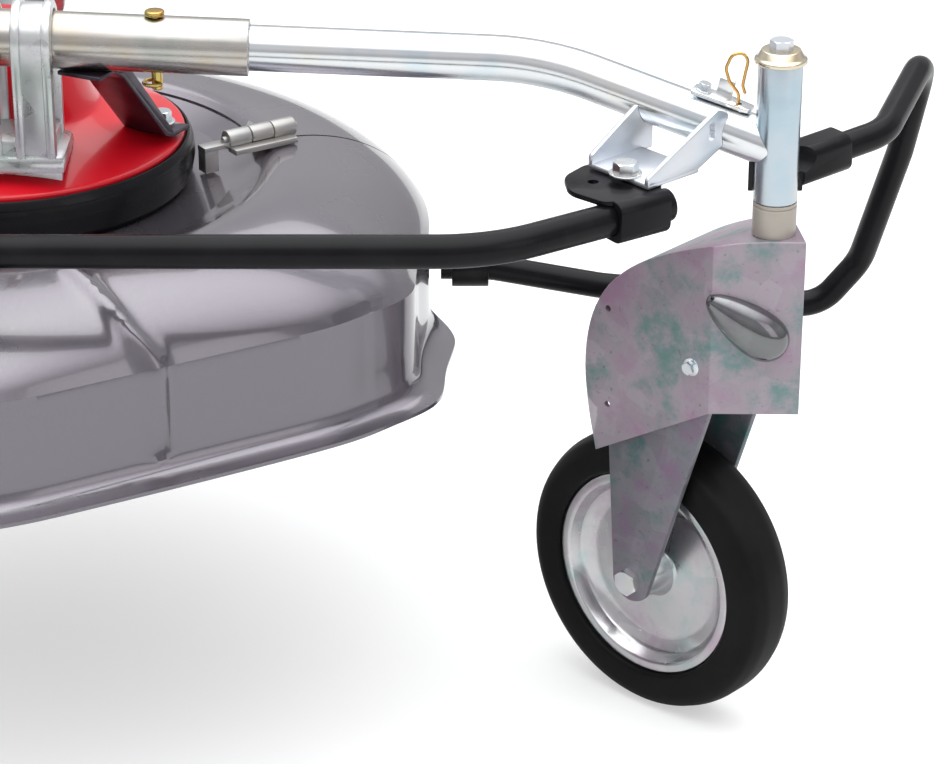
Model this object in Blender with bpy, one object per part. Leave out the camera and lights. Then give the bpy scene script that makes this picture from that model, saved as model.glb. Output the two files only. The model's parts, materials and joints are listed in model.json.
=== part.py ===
"""Wheeled brush mower: a dished deck with a red hub cover, two telescoping arms
that carry guard tubes and swivelling wheels, and a bladed spindle underneath.

Metres, +Z up, ground at Z = 0. The spindle axis is X = Y = 0. The nose of the deck
points to -Y and the rear doors and the drive coupling are on the +Y side.
The machine is the same on both sides, so each side piece is built once at +X
(left, as seen by an operator behind the machine) and mirrored to -X (right).
"""

import math

import bmesh
import bpy
from mathutils import Matrix, Vector

MM = 0.001

# Heights are given from the rim of the red cover, which is this far off the ground
RIM_Z = 440 * MM

# Fits
REST_GAP = 0.4 * MM
DOOR_GAP = 2.4 * MM
SLIDE_GAP = 0.5 * MM
TURN_GAP = 0.5 * MM

# Deck
DECK_WALL = 3 * MM
DECK_HOLE_R = 62 * MM
FLOOR_H = -40 * MM
RIDGE_R = 205 * MM
SKIRT_R = 330 * MM
FACET = SKIRT_R / 1.1
FACET_TURN = math.radians(30)
NOSE_ROUND = 8 * MM
CORNER_OUT = 14 * MM
CORNER_TURN = math.radians(67)
CORNER_WIDE = math.radians(6.5)
LIP_OUT = 24 * MM
LIP_END = math.radians(97)
DECK_END_H = -165 * MM
DECK_COLUMNS = 56
RIB_R = 5 * MM

# Rear doors and their hinges
HINGE_AT = Vector((187 * MM, 30.5 * MM, RIM_Z - 16 * MM))
HINGE_DIR = Vector((0.8363, 0.5482, 0)).normalized()
HINGE_OUT = Vector((-HINGE_DIR.y, HINGE_DIR.x, 0))
KNUCKLE_R = 7.5 * MM
HINGE_PIN_R = 3 * MM
KNUCKLE_ENDS = (-18 * MM, 2 * MM, 22 * MM, 42 * MM)
DOOR_INNER_R = RIDGE_R - 7 * MM
DOOR_SIDE_X = 50 * MM

# Red cover, black ring and gear case
RING_R = 149.5 * MM
COVER_R = RING_R - 7.5 * MM
COVER_WALL = 3 * MM
CASE_R = 50 * MM
CASE_TOP_H = 72 * MM
INPUT_H = 46 * MM
INPUT_TUBE_R = 22 * MM
INPUT_SHAFT_R = 10 * MM
INPUT_FACE_Y = 190 * MM
FLANGE_R = 32 * MM
FLANGE_BOLT_R = 22 * MM
FACE_GEAR_R = 38 * MM
FACE_TEETH = 24
PINION_R = 18 * MM
PINION_TEETH = 12
SPINDLE_R = 12 * MM
BEARING_R = 30 * MM

# Blade carrier and swinging knives
KNIFE_PIVOT_R = 150 * MM
KNIFE_PIN_R = 6 * MM
CARRIER_TOP_H = -124 * MM
CARRIER_T = 8 * MM
KNIFE_T = 5 * MM
KNIFE_TIP_R = 283 * MM

# Arms and their sleeves
ARM_Y = -100 * MM
ARM_SLOPE = math.radians(2.5)
SLEEVE_X = (6 * MM, 201 * MM)
SLEEVE_H = 110 * MM
SLEEVE_R = 21 * MM
SLEEVE_BORE_R = 17.6 * MM
ARM_R = 17 * MM
ARM_WALL = 3 * MM
ARM_START_X = 60 * MM
ARM_BEND_X = 416 * MM
ARM_DIR = Vector((0.907, -0.349, -0.236)).normalized()
ARM_TRAVEL = 25 * MM
PIN_X = 133 * MM
PIN_R = 4 * MM

# Bracket under the arm
BRACKET_AT = Vector((446 * MM, -172 * MM, 0))
BRACKET_DIR = Vector((0.74, 0.673, 0)).normalized()
BRACKET_SIDE = Vector((BRACKET_DIR.y, -BRACKET_DIR.x, 0))
BRACKET_WIDE = 61 * MM

# Swivel posts
POST_AT = Vector((582 * MM, -165 * MM, 0))
POST_R = 16 * MM
POST_BORE_R = 12.9 * MM
POST_H = (9 * MM, 113 * MM)
STEM_R = 12.4 * MM
CAP_R = 19 * MM

# Fork and wheel, drawn along the trail direction
TRAIL_DIR = Vector((-0.739, 0.674, 0)).normalized()
FORK_SIDE = Vector((-TRAIL_DIR.y, TRAIL_DIR.x, 0))
TRAIL = 97 * MM
HOOD_HALF = 44 * MM
HOOD_NOSE_X = -30 * MM
HOOD_BEND_X = 20 * MM
HOOD_WALL = 4 * MM
LEG_IN = 30 * MM
LEG_T = 6 * MM
WHEEL_R = 115 * MM
TYRE_HALF = 25 * MM
RIM_R = 84 * MM
AXLE_R = 6 * MM

# Guards
GUARD_R = 12 * MM
GUARD_Y = 10 * MM - FACET
GUARD_H = 20 * MM
LOOP_R = 11 * MM
TUBE_WALL = 2 * MM
EYE_X = (SKIRT_R + 17 * MM, SKIRT_R + 47 * MM)
EYE_AT = Vector((0, 100 * MM, RIM_Z - 156 * MM))

# Parking stand
STAND_Y = SKIRT_R + 14 * MM
STAND_LEG_R = 10 * MM
STAND_FOOT = (110 * MM, 36.8 * MM, 6 * MM)

Z_AXIS = Vector((0, 0, 1))
WELD = 0.01 * MM
ARC_STEP = math.radians(31)
ROUND_STEPS = (
    (2 * MM, 5), (5 * MM, 8), (7.5 * MM, 8), (13 * MM, 10), (25 * MM, 16), (40 * MM, 20),
    (60 * MM, 24), (90 * MM, 28), (125 * MM, 32),
)


def clear_scene():
    for obj in list(bpy.data.objects):
        bpy.data.objects.remove(obj, do_unlink=True)


def up(h):
    return RIM_Z + h


def material(name, color, metallic, roughness):
    found = bpy.data.materials.get(name)
    if found:
        return found
    made = bpy.data.materials.new(name)
    made.use_nodes = True
    shader = made.node_tree.nodes["Principled BSDF"]
    shader.inputs["Base Color"].default_value = (*color, 1)
    shader.inputs["Metallic"].default_value = metallic
    shader.inputs["Roughness"].default_value = roughness
    return made


def object_from(name, bm):
    bmesh.ops.remove_doubles(bm, verts=bm.verts, dist=1e-7)
    bmesh.ops.recalc_face_normals(bm, faces=bm.faces)
    mesh = bpy.data.meshes.new(name)
    bm.to_mesh(mesh)
    bm.free()
    obj = bpy.data.objects.new(name, mesh)
    bpy.context.scene.collection.objects.link(obj)
    return obj


def apply_modifiers(obj):
    bpy.context.view_layer.update()
    graph = bpy.context.evaluated_depsgraph_get()
    mesh = bpy.data.meshes.new_from_object(obj.evaluated_get(graph))
    obj.modifiers.clear()
    obj.data = mesh


def weld(obj):
    """Merge the near-double points that a Boolean leaves along a cut."""
    bm = bmesh.new()
    bm.from_mesh(obj.data)
    bmesh.ops.remove_doubles(bm, verts=bm.verts, dist=WELD)
    bmesh.ops.dissolve_degenerate(bm, dist=WELD / 10, edges=bm.edges)
    bm.to_mesh(obj.data)
    bm.free()


def boolean(obj, others, operation):
    for other in others:
        modifier = obj.modifiers.new(operation.lower(), "BOOLEAN")
        modifier.operation = operation
        modifier.solver = "EXACT"
        modifier.object = other
        apply_modifiers(obj)
        weld(obj)
        bpy.data.objects.remove(other, do_unlink=True)
    return obj


def join(obj, *others):
    return boolean(obj, others, "UNION")


def cut(obj, *others):
    return boolean(obj, others, "DIFFERENCE")


def bevel(obj, width, segments=1, angle=40):
    modifier = obj.modifiers.new("edge", "BEVEL")
    modifier.width = width
    modifier.segments = segments
    modifier.limit_method = "ANGLE"
    modifier.angle_limit = math.radians(angle)
    modifier.use_clamp_overlap = True
    apply_modifiers(obj)
    return obj


def finish(obj, name, look, origin=None):
    """Name the node, put its origin on its joint, smooth its round faces."""
    obj.name = name
    obj.data.name = name
    if origin is not None:
        obj.data.transform(Matrix.Translation(-origin))
        obj.location = origin
    obj.data.materials.clear()
    obj.data.materials.append(material(name, *look))
    obj.data.shade_smooth()
    obj.data.set_sharp_from_angle(angle=math.radians(35))
    return obj


def mirrored(obj, name, look):
    mesh = obj.data.copy()
    mesh.transform(Matrix.Scale(-1, 4, Vector((1, 0, 0))))
    mesh.flip_normals()
    other = bpy.data.objects.new(name, mesh)
    other.location = (-obj.location.x, obj.location.y, obj.location.z)
    bpy.context.scene.collection.objects.link(other)
    mesh.name = name
    mesh.materials.clear()
    mesh.materials.append(material(name, *look))
    return other


def both_sides(obj, name, look, origin=None):
    finish(obj, name + "_left", look, origin)
    mirrored(obj, name + "_right", look)


def grid(rings):
    """A closed tube through rings of points, joined end to end in both ways."""
    bm = bmesh.new()
    made = [[bm.verts.new(p) for p in ring] for ring in rings]
    for i, ring in enumerate(made):
        after = made[(i + 1) % len(made)]
        for j in range(len(ring)):
            k = (j + 1) % len(ring)
            quad = (ring[j], ring[k], after[k], after[j])
            if sum(v.co.x for v in quad) < 0:
                quad = (after[j], after[k], ring[k], ring[j])[::-1]
                quad = quad[1:] + quad[:1]
            bm.faces.new(quad[:3])
            bm.faces.new((quad[0], quad[2], quad[3]))
    return object_from("grid", bm)


def round_steps(radius):
    """How many flats make a circle: more on a larger one."""
    for limit, steps in ROUND_STEPS:
        if radius < limit:
            return steps
    return 40


def lathe(profile, centre=None, axis=None):
    """A profile of (radius, height) points, closed on itself, turned round an axis."""
    steps = round_steps(max(r for r, h in profile))
    bm = bmesh.new()
    verts = [bm.verts.new((r, 0, h)) for r, h in profile]
    edges = [
        bm.edges.new((verts[i], verts[(i + 1) % len(verts)]))
        for i in range(len(verts))
        if not (profile[i][0] < 1e-9 and profile[(i + 1) % len(verts)][0] < 1e-9)
    ]
    bmesh.ops.spin(
        bm,
        geom=verts + edges,
        cent=(0, 0, 0),
        axis=(0, 0, 1),
        angle=math.tau,
        steps=steps,
        use_merge=True,
    )
    obj = object_from("lathe", bm)
    turn = Z_AXIS.rotation_difference(axis or Z_AXIS).to_matrix().to_4x4()
    obj.data.transform(Matrix.Translation(centre or Vector()) @ turn)
    return obj


def rod(start, end, radius, bore=0):
    length = (end - start).length
    bore = outside(bore, radius)
    profile = [(bore, 0), (radius, 0), (radius, length), (bore, length)]
    return lathe(profile, start, (end - start).normalized())


def outside(radius, largest):
    """The corner radius of a hole whose flats stay clear of the given radius."""
    return radius / math.cos(math.pi / round_steps(largest))


def hole(start, end, radius):
    """A cutter that leaves at least the given radius open."""
    return rod(start, end, outside(radius, radius * 1.06))


def frame_of(direction, side):
    """Columns are the direction, a level side way and the way up from both."""
    x = direction.normalized()
    y = (side - side.dot(x) * x).normalized()
    return Matrix((x, y, x.cross(y))).transposed()


def prism(outline, low, high, origin=None, axes=None):
    """A flat outline in the first two axes, given thickness along the third."""
    axes = axes or Matrix.Identity(3)
    origin = origin or Vector()
    bm = bmesh.new()
    rings = [
        [bm.verts.new(origin + axes @ Vector((u, v, w))) for u, v in outline]
        for w in (low, high)
    ]
    bm.faces.new(rings[0][::-1])
    bm.faces.new(rings[1])
    for i in range(len(outline)):
        j = (i + 1) % len(outline)
        bm.faces.new((rings[0][i], rings[0][j], rings[1][j], rings[1][i]))
    return object_from("prism", bm)


def block(low, high):
    outline = [(low[0], low[1]), (high[0], low[1]), (high[0], high[1]), (low[0], high[1])]
    return prism(outline, low[2], high[2])


def rounded_outline(points, radius, steps=0):
    """Replaces each corner of a closed outline with an arc."""
    done = []
    count = len(points)
    for i, corner in enumerate(points):
        here = Vector((*corner, 0))
        before = Vector((*points[i - 1], 0)) - here
        after = Vector((*points[(i + 1) % count], 0)) - here
        done += [tuple(p)[:2] for p in arc_points(here, before, after, radius, steps)]
    return done


def arc_points(corner, before, after, radius, steps=0):
    angle = before.angle(after)
    steps = steps or math.ceil((math.pi - angle) / ARC_STEP)
    reach = min(radius / math.tan(angle / 2), 0.49 * min(before.length, after.length))
    if math.pi - angle < 0.02:
        return [corner]
    a = before.normalized()
    b = after.normalized()
    radius = reach * math.tan(angle / 2)
    centre = corner + (a + b).normalized() * (radius / math.sin(angle / 2))
    start = corner + a * reach - centre
    end = corner + b * reach - centre
    sweep = math.pi - angle
    points = []
    for i in range(steps + 1):
        share = i / steps
        left = math.sin((1 - share) * sweep) / math.sin(sweep)
        right = math.sin(share * sweep) / math.sin(sweep)
        points.append(centre + start * left + end * right)
    return points


def rounded_path(points, radii, steps=0):
    path = [points[0]]
    for i in range(1, len(points) - 1):
        before = points[i - 1] - points[i]
        after = points[i + 1] - points[i]
        path += arc_points(points[i], before, after, radii[i - 1], steps)
    return path + [points[-1]]


def swept_tube(path, radius, bore=0):
    """A round bar, or a tube with a bore, along a path that never doubles back."""
    sides = round_steps(radius)
    bore = outside(bore, radius)
    tangents = []
    for i in range(len(path)):
        ahead = path[min(i + 1, len(path) - 1)] - path[i]
        behind = path[i] - path[max(i - 1, 0)]
        both = ahead.normalized() + behind.normalized()
        tangents.append(both.normalized())
    side = tangents[0].orthogonal().normalized()
    bm = bmesh.new()
    outer = []
    inner = []
    for i, (point, tangent) in enumerate(zip(path, tangents)):
        if i:
            side = tangents[i - 1].rotation_difference(tangent) @ side
        side = (side - side.dot(tangent) * tangent).normalized()
        other = tangent.cross(side)
        for rings, r in ((outer, radius), (inner, bore)):
            if r:
                rings.append([
                    bm.verts.new(
                        point + r * (side * math.cos(a) + other * math.sin(a))
                    )
                    for a in (math.tau * j / sides for j in range(sides))
                ])
    for rings in (outer, inner):
        for one, two in zip(rings, rings[1:]):
            for j in range(sides):
                k = (j + 1) % sides
                bm.faces.new((one[j], one[k], two[k], two[j]))
    for end in (0, -1):
        if bore:
            for j in range(sides):
                k = (j + 1) % sides
                bm.faces.new((outer[end][j], outer[end][k], inner[end][k], inner[end][j]))
        else:
            bm.faces.new(outer[end])
    return object_from("tube", bm)


def hex_bolt(at, direction, across, head, washer_r=0, washer_t=0):
    """A hexagon head, on a washer if one is given, seated at a point."""
    radius = across / math.sqrt(3)
    outline = [
        (radius * math.cos(math.radians(60 * i)), radius * math.sin(math.radians(60 * i)))
        for i in range(6)
    ]
    side = direction.orthogonal()
    axes = frame_of(side, direction.cross(side))
    low = washer_t * 0.9
    bolt = prism(outline, low, washer_t + head, at, axes)
    if washer_r:
        join(bolt, rod(at, at + direction * washer_t, washer_r))
    return bolt


# Deck


def from_nose(angle):
    turn = (angle + math.pi / 2) % math.tau
    return min(turn, math.tau - turn)


def skirt_radius(angle):
    turn = from_nose(angle)
    corner = CORNER_OUT * math.exp(-(((turn - CORNER_TURN) / CORNER_WIDE) ** 2))
    if turn > 2 * FACET_TURN:
        return SKIRT_R + corner
    flat = FACET / math.cos(turn - FACET_TURN)
    if turn < FACET_TURN:
        return flat - NOSE_ROUND * math.exp(-((turn / math.radians(6)) ** 2))
    return min(flat, SKIRT_R) + corner


def lip_reach(angle):
    share = (LIP_END - from_nose(angle)) / math.radians(14)
    share = min(max(share, 0), 1)
    return LIP_OUT * share * share * (3 - 2 * share)


# Share of the way from the ridge to the skirt, and height in millimetres
SHOULDER = (
    (0.008, -27), (0.136, -25), (0.344, -28.5), (0.584, -38), (0.784, -52),
    (0.928, -67), (1, -80), (1, -150),
)


def deck_profile():
    """The section from the hub hole out: flat floor, step up, shoulder and skirt."""
    floor = [(DECK_HOLE_R, FLOOR_H), (RIDGE_R - 27 * MM, FLOOR_H)]
    step = [(RIDGE_R - 13 * MM, FLOOR_H + 5.5 * MM)]
    wide = SKIRT_R - RIDGE_R
    return floor + step + [(RIDGE_R + share * wide, h * MM) for share, h in SHOULDER]


def offset_profile(profile, by):
    moved = []
    for i, (r, h) in enumerate(profile):
        before = Vector(profile[max(i - 1, 0)])
        after = Vector(profile[min(i + 1, len(profile) - 1)])
        along = (after - before).normalized()
        moved.append((r - along.y * by, h + along.x * by))
    return moved


def deck_point(r, h, flare, angle):
    share = max(0, (r - RIDGE_R) / (SKIRT_R - RIDGE_R))
    r += (skirt_radius(angle) - SKIRT_R) * min(share, 1) ** 1.2
    r += flare * lip_reach(angle)
    return Vector((r * math.cos(angle), r * math.sin(angle), up(h)))


def deck_rings(loop):
    return [
        [deck_point(r, h, flare, math.tau * i / DECK_COLUMNS) for r, h, flare in loop]
        for i in range(DECK_COLUMNS)
    ]


def deck_form():
    top = deck_profile()
    under = offset_profile(top, -DECK_WALL)
    inside = SKIRT_R - DECK_WALL
    end = DECK_END_H
    loop = [(r, h, 0) for r, h in top]
    loop += [(SKIRT_R, end + 8 * MM, 0.35), (SKIRT_R, end + DECK_WALL, 1)]
    loop += [(inside, end, 1), (inside, end + 5 * MM, 0.35)]
    kept = [point for i, point in enumerate(under) if i not in (2, 5, 7)]
    loop += [(r, h, 0) for r, h in kept[::-1]]
    return grid(deck_rings(loop))


def deck_envelope(gap):
    """Everything under the deck's top face, for trimming what rests on it."""
    top = offset_profile(deck_profile(), gap)
    loop = [(r, h, 0) for r, h in top]
    low = DECK_END_H - 60 * MM
    loop += [(SKIRT_R + gap, low, 0), (DECK_HOLE_R, low, 0)]
    return grid(deck_rings(loop))


def hinge_reach(radius, n):
    """How far along the hinge, at n out from it, a circle round the spindle is met."""
    start = Vector((HINGE_AT.x, HINGE_AT.y, 0)) + HINGE_OUT * n
    along = start.dot(HINGE_DIR)
    return math.sqrt(along**2 - start.length_squared + radius**2) - along


def door_prism(gap):
    """The plan of a left door, shrunk by a gap."""
    inner = DOOR_INNER_R + gap
    side_x = DOOR_SIDE_X + gap
    start = Vector((HINGE_AT.x, HINGE_AT.y, 0)) + HINGE_OUT * gap
    first = start + HINGE_DIR * hinge_reach(inner, gap)
    outer = start + HINGE_DIR * (SKIRT_R - 110 * MM)
    begin = math.atan2(first.y, first.x)
    stop = math.acos(side_x / inner)
    outline = [
        (inner * math.cos(a), inner * math.sin(a))
        for a in (stop + (begin - stop) * i / 24 for i in range(25))
    ]
    far = SKIRT_R + 90 * MM
    outline += [(outer.x, outer.y), (outer.x, far), (side_x, far)]
    return prism(outline, up(-200 * MM), up(20 * MM))


def mirror_cutter(obj):
    obj.data.transform(Matrix.Scale(-1, 4, Vector((1, 0, 0))))
    obj.data.flip_normals()
    return obj


def rib_bead():
    """The bead pressed into a front facet, over the shoulder and down the skirt."""
    plan = [(70, -205, -27), (100, -240, -35), (122, -259, -50), (137, -266, -66),
            (141, -264, -82), (141, -263, -128)]
    points = [Vector((x * MM, y * MM, up(h * MM))) for x, y, h in plan]
    return swept_tube(points, RIB_R)


def build_deck():
    deck = deck_form()
    cut(deck, door_prism(0), mirror_cutter(door_prism(0)))
    join(deck, rib_bead(), mirror_cutter(rib_bead()))
    finish(deck, "deck_shell", (SILVER_GREY, 0.6, 0.35))


def hinge_point(s, n, h):
    return HINGE_AT + HINGE_DIR * s + HINGE_OUT * n + Z_AXIS * h


def hinge_axes():
    return frame_of(HINGE_DIR, HINGE_OUT)


def build_doors():
    door = deck_form()
    boolean(door, [door_prism(DOOR_GAP)], "INTERSECT")
    gap = 0.4 * MM
    start, end = KNUCKLE_ENDS[1] + gap, KNUCKLE_ENDS[2] - gap
    leaf_high = -2 * MM
    leaf_low = -12.5 * MM
    outline = [(start, 3 * MM), (end, 3 * MM), (end, 34 * MM), (start + 8 * MM, 20 * MM)]
    leaf = prism(outline, leaf_low, leaf_high, HINGE_AT, hinge_axes())
    web = prism(
        [(start, 0), (end, 0), (end, 8 * MM), (start, 8 * MM)],
        -6 * MM, -1 * MM, HINGE_AT, hinge_axes(),
    )
    knuckle = rod(hinge_point(start, 0, 0), hinge_point(end, 0, 0), KNUCKLE_R)
    join(knuckle, web, leaf)
    join(door, knuckle)
    bore = hole(
        hinge_point(start - 5 * MM, 0, 0), hinge_point(end + 5 * MM, 0, 0),
        HINGE_PIN_R + TURN_GAP,
    )
    cut(door, bore)
    both_sides(door, "rear_door", (SILVER_GREY, 0.6, 0.35), HINGE_AT)


def build_hinge_leaves():
    """Fixed leaf with two knuckles and the pin, and a tab to a foot by the ring."""
    axes = hinge_axes()
    inner = hinge_reach(RING_R + 1.5 * MM, 6 * MM)
    first, last = KNUCKLE_ENDS[0], KNUCKLE_ENDS[3]
    end = last - 4 * MM
    plate = prism(
        [(first, -16 * MM), (end, -16 * MM), (end, -3 * MM), (first, -3 * MM)],
        -8.5 * MM, -4 * MM, HINGE_AT, axes,
    )
    bevel(plate, 0.8 * MM)
    start = first + 4 * MM
    tab = prism(
        [(inner, -6 * MM), (start, -6 * MM), (start, 6 * MM), (inner, 6 * MM)],
        -5 * MM, -1 * MM, HINGE_AT, axes,
    )
    near, away, half = inner + 0.2 * MM, inner + 12 * MM, 5.8 * MM
    foot = prism(
        [(near, -half), (away, -half), (away, half), (near, half)],
        -30 * MM, -3 * MM, HINGE_AT, axes,
    )
    join(tab, foot)
    between = (hinge_point(KNUCKLE_ENDS[1], 0, 0), hinge_point(KNUCKLE_ENDS[2], 0, 0))
    cut(plate, hole(*between, KNUCKLE_R + TURN_GAP))
    pairs = ((first, KNUCKLE_ENDS[1]), (KNUCKLE_ENDS[2], last))
    for start, end in pairs:
        join(plate, rod(hinge_point(start, 0, 0), hinge_point(end, 0, 0), KNUCKLE_R))
    pin_ends = (hinge_point(first - 3 * MM, 0, 0), hinge_point(last + 3 * MM, 0, 0))
    join(plate, tab, rod(*pin_ends, HINGE_PIN_R))
    cut(plate, deck_envelope(REST_GAP))
    both_sides(plate, "hinge_leaf", (ZINC, 0.9, 0.4))


# Hub


# Radius and height in millimetres, from the top of the hub to the dished rim
COVER_TOP = ((52, 84), (59, 80), (67, 52), (75, 25), (81, 20.5), (110, 12))


def cover_profile(gap):
    profile = [(r * MM, h * MM) for r, h in COVER_TOP]
    profile += [(COVER_R - 4 * MM, 1.5 * MM), (COVER_R, 0), (COVER_R, -3.5 * MM)]
    return offset_profile(profile, gap)


def build_cover():
    top = cover_profile(0)
    under = offset_profile(top, -COVER_WALL)
    under = [under[0], under[2], under[3], under[5], (COVER_R - COVER_WALL, top[-1][1])]
    loop = [(0, top[0][1])] + top + under[::-1] + [(0, under[0][1])]
    cover = lathe([(r, up(h)) for r, h in loop])
    opening = hole(
        Vector((0, 40 * MM, up(INPUT_H))), Vector((0, 120 * MM, up(INPUT_H))),
        INPUT_TUBE_R + 2 * MM,
    )
    cut(cover, opening)
    finish(cover, "hub_cover", (RED, 0.0, 0.35))


def cover_envelope(gap):
    top = cover_profile(gap)
    low = top[-1][1] - 2 * MM
    loop = [(0, up(top[0][1]))] + [(r, up(h)) for r, h in top]
    loop += [(top[-1][0], up(low)), (0, up(low))]
    return lathe(loop)


def build_ring():
    low = FLOOR_H + REST_GAP
    loop = [
        (COVER_R - 6 * MM, low), (RING_R - 6.5 * MM, low), (RING_R - 2.5 * MM, -34 * MM),
        (RING_R, -20 * MM), (RING_R - 1 * MM, -9 * MM), (RING_R - 4 * MM, -2.5 * MM),
        (COVER_R + 2 * MM, -2.5 * MM), (COVER_R + 1.2 * MM, -4.2 * MM),
        (COVER_R - 6 * MM, -4.2 * MM),
    ]
    ring = lathe([(r, up(h)) for r, h in loop])
    finish(ring, "hub_ring", (BLACK, 0.0, 0.6))


def build_gear_case():
    floor = FLOOR_H + REST_GAP
    loop = [
        (0, CASE_TOP_H), (40 * MM, CASE_TOP_H), (CASE_R, CASE_TOP_H - 9 * MM),
        (CASE_R, -28 * MM), (110 * MM, -28 * MM), (110 * MM, floor), (54 * MM, floor),
        (46 * MM, -96 * MM), (BEARING_R + REST_GAP, -96 * MM),
        (BEARING_R + REST_GAP, -80 * MM), (22 * MM, -80 * MM), (22 * MM, 2 * MM),
        (CASE_R - 6 * MM, 8 * MM), (CASE_R - 6 * MM, CASE_TOP_H - 5 * MM),
        (0, CASE_TOP_H - 5 * MM),
    ]
    case = lathe([(r, up(h)) for r, h in loop])
    inner = Vector((0, CASE_R - 4 * MM, up(INPUT_H)))
    outer = Vector((0, 160 * MM, up(INPUT_H)))
    join(case, rod(inner, outer, INPUT_TUBE_R))
    bore = hole(
        inner - Vector((0, 8 * MM, 0)), outer + Vector((0, 9 * MM, 0)),
        INPUT_SHAFT_R + REST_GAP,
    )
    cut(case, bore)
    finish(case, "gear_case", (CAST, 0.7, 0.55))


def tooth_outline(root, tip, teeth, width, phase):
    """A gear outline with straight-sided teeth that narrow to the tip."""
    outline = []
    step = math.tau / teeth
    for i in range(teeth):
        middle = phase + i * step
        for r, side in ((root, -width), (tip, -0.55 * width), (tip, 0.55 * width), (root, width)):
            angle = middle + side * step
            outline.append((r * math.cos(angle), r * math.sin(angle)))
    return outline


def build_spindle():
    """Shaft with the face gear on top, cut with teeth that point up."""
    gear_top = INPUT_H - PINION_R + 2 * MM
    root = gear_top - 4.6 * MM
    loop = [
        (0, root), (FACE_GEAR_R, root), (FACE_GEAR_R, root - 7 * MM),
        (20 * MM, root - 10 * MM), (SPINDLE_R, root - 10 * MM),
        (SPINDLE_R, CARRIER_TOP_H - CARRIER_T - 12 * MM), (0, CARRIER_TOP_H - CARRIER_T - 12 * MM),
    ]
    spindle = lathe([(r, up(h)) for r, h in loop])
    phase = math.pi / 2 + math.pi / FACE_TEETH
    bm = bmesh.new()
    half_low, half_high = 1.9 * MM, 1.1 * MM
    for i in range(FACE_TEETH):
        angle = phase + i * math.tau / FACE_TEETH
        out = Vector((math.cos(angle), math.sin(angle), 0))
        side = Vector((-out.y, out.x, 0))
        low = root - 1 * MM
        corners = []
        for r in (28 * MM, FACE_GEAR_R - 0.5 * MM):
            rises = ((-half_low, low), (-half_high, gear_top), (half_high, gear_top), (half_low, low))
            for half, h in rises:
                corners.append(bm.verts.new(out * r + side * half + Z_AXIS * up(h)))
        near, far = corners[:4], corners[4:]
        bm.faces.new(near)
        bm.faces.new(far[::-1])
        for j in range(4):
            k = (j + 1) % 4
            bm.faces.new((near[j], near[k], far[k], far[j]))
    join(spindle, object_from("teeth", bm))
    finish(spindle, "spindle", (STEEL, 1.0, 0.3), Vector((0, 0, up(0))))


def build_bearings():
    loop = [(SPINDLE_R + TURN_GAP, -94 * MM), (BEARING_R, -94 * MM),
            (BEARING_R, -80.4 * MM), (SPINDLE_R + TURN_GAP, -80.4 * MM)]
    bearing = lathe([(r, up(h)) for r, h in loop])
    finish(bearing, "spindle_bearing", (STEEL, 1.0, 0.3))


def build_input():
    """Drive shaft with the pinion inside and the coupling flange outside."""
    at = Vector((0, 0, up(INPUT_H)))
    along = Vector((0, 1, 0))
    shaft = rod(at + along * 20 * MM, at + along * (INPUT_FACE_Y - 3 * MM), INPUT_SHAFT_R)
    outline = tooth_outline(14 * MM, PINION_R, PINION_TEETH, 0.2, -math.pi / 2)
    axes = Matrix((Vector((1, 0, 0)), Vector((0, 0, 1)), Vector((0, 1, 0)))).transposed()
    join(shaft, prism(outline, 28.5 * MM, 37.5 * MM, at, axes))
    flange = rod(at + along * (INPUT_FACE_Y - 12 * MM), at + along * INPUT_FACE_Y, FLANGE_R)
    bevel(flange, 1 * MM)
    join(shaft, flange)
    for i in range(4):
        angle = math.radians(45 + 90 * i)
        spot = at + FLANGE_BOLT_R * Vector((math.cos(angle), 0, math.sin(angle)))
        cut(shaft, hole(spot + along * 170 * MM, spot + along * 200 * MM, 3.3 * MM))
    finish(shaft, "input_shaft", (STEEL, 1.0, 0.3), at + along * INPUT_FACE_Y)


# Knives


def build_carrier():
    half = KNIFE_PIVOT_R + 26 * MM
    wide = 30 * MM
    outline = rounded_outline([(-half, -wide), (half, -wide), (half, wide), (-half, wide)], 24 * MM)
    low = up(CARRIER_TOP_H - CARRIER_T)
    bar = prism(outline, low, up(CARRIER_TOP_H))
    bevel(bar, 0.8 * MM)
    top = up(CARRIER_TOP_H)
    join(bar, rod(Z_AXIS * (low + 2 * MM), Z_AXIS * (top + 18 * MM), 24 * MM))
    for side in (-1, 1):
        spot = Vector((side * KNIFE_PIVOT_R, 0, 0))
        low_end = low - KNIFE_T - 1.2 * MM
        join(bar, rod(spot + Z_AXIS * low_end, spot + Z_AXIS * (low + 2 * MM), KNIFE_PIN_R))
        join(bar, rod(spot + Z_AXIS * (low_end - 5 * MM), spot + Z_AXIS * (low_end + 0.4 * MM), 12 * MM))
        join(bar, hex_bolt(spot + Z_AXIS * (top - 1 * MM), Z_AXIS, 19 * MM, 8 * MM))
    cut(bar, hole(Z_AXIS * (low - 9 * MM), Z_AXIS * up(-90 * MM), SPINDLE_R + REST_GAP))
    finish(bar, "blade_carrier", (DARK, 0.7, 0.5), Vector((0, 0, up(CARRIER_TOP_H))))


def build_nut():
    """Anti-wrap cup and nut that hold the carrier on the spindle."""
    top = CARRIER_TOP_H - CARRIER_T - REST_GAP
    loop = [
        (SPINDLE_R + REST_GAP, top), (38 * MM, top), (45 * MM, top - 6 * MM),
        (45 * MM, top - 9 * MM), (30 * MM, top - 20 * MM), (0, top - 22 * MM),
        (0, top - 15 * MM), (SPINDLE_R + REST_GAP, top - 15 * MM),
    ]
    nut = lathe([(r, up(h)) for r, h in loop])
    finish(nut, "spindle_nut", (DARK, 0.7, 0.5), Vector((0, 0, up(top))))


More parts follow.
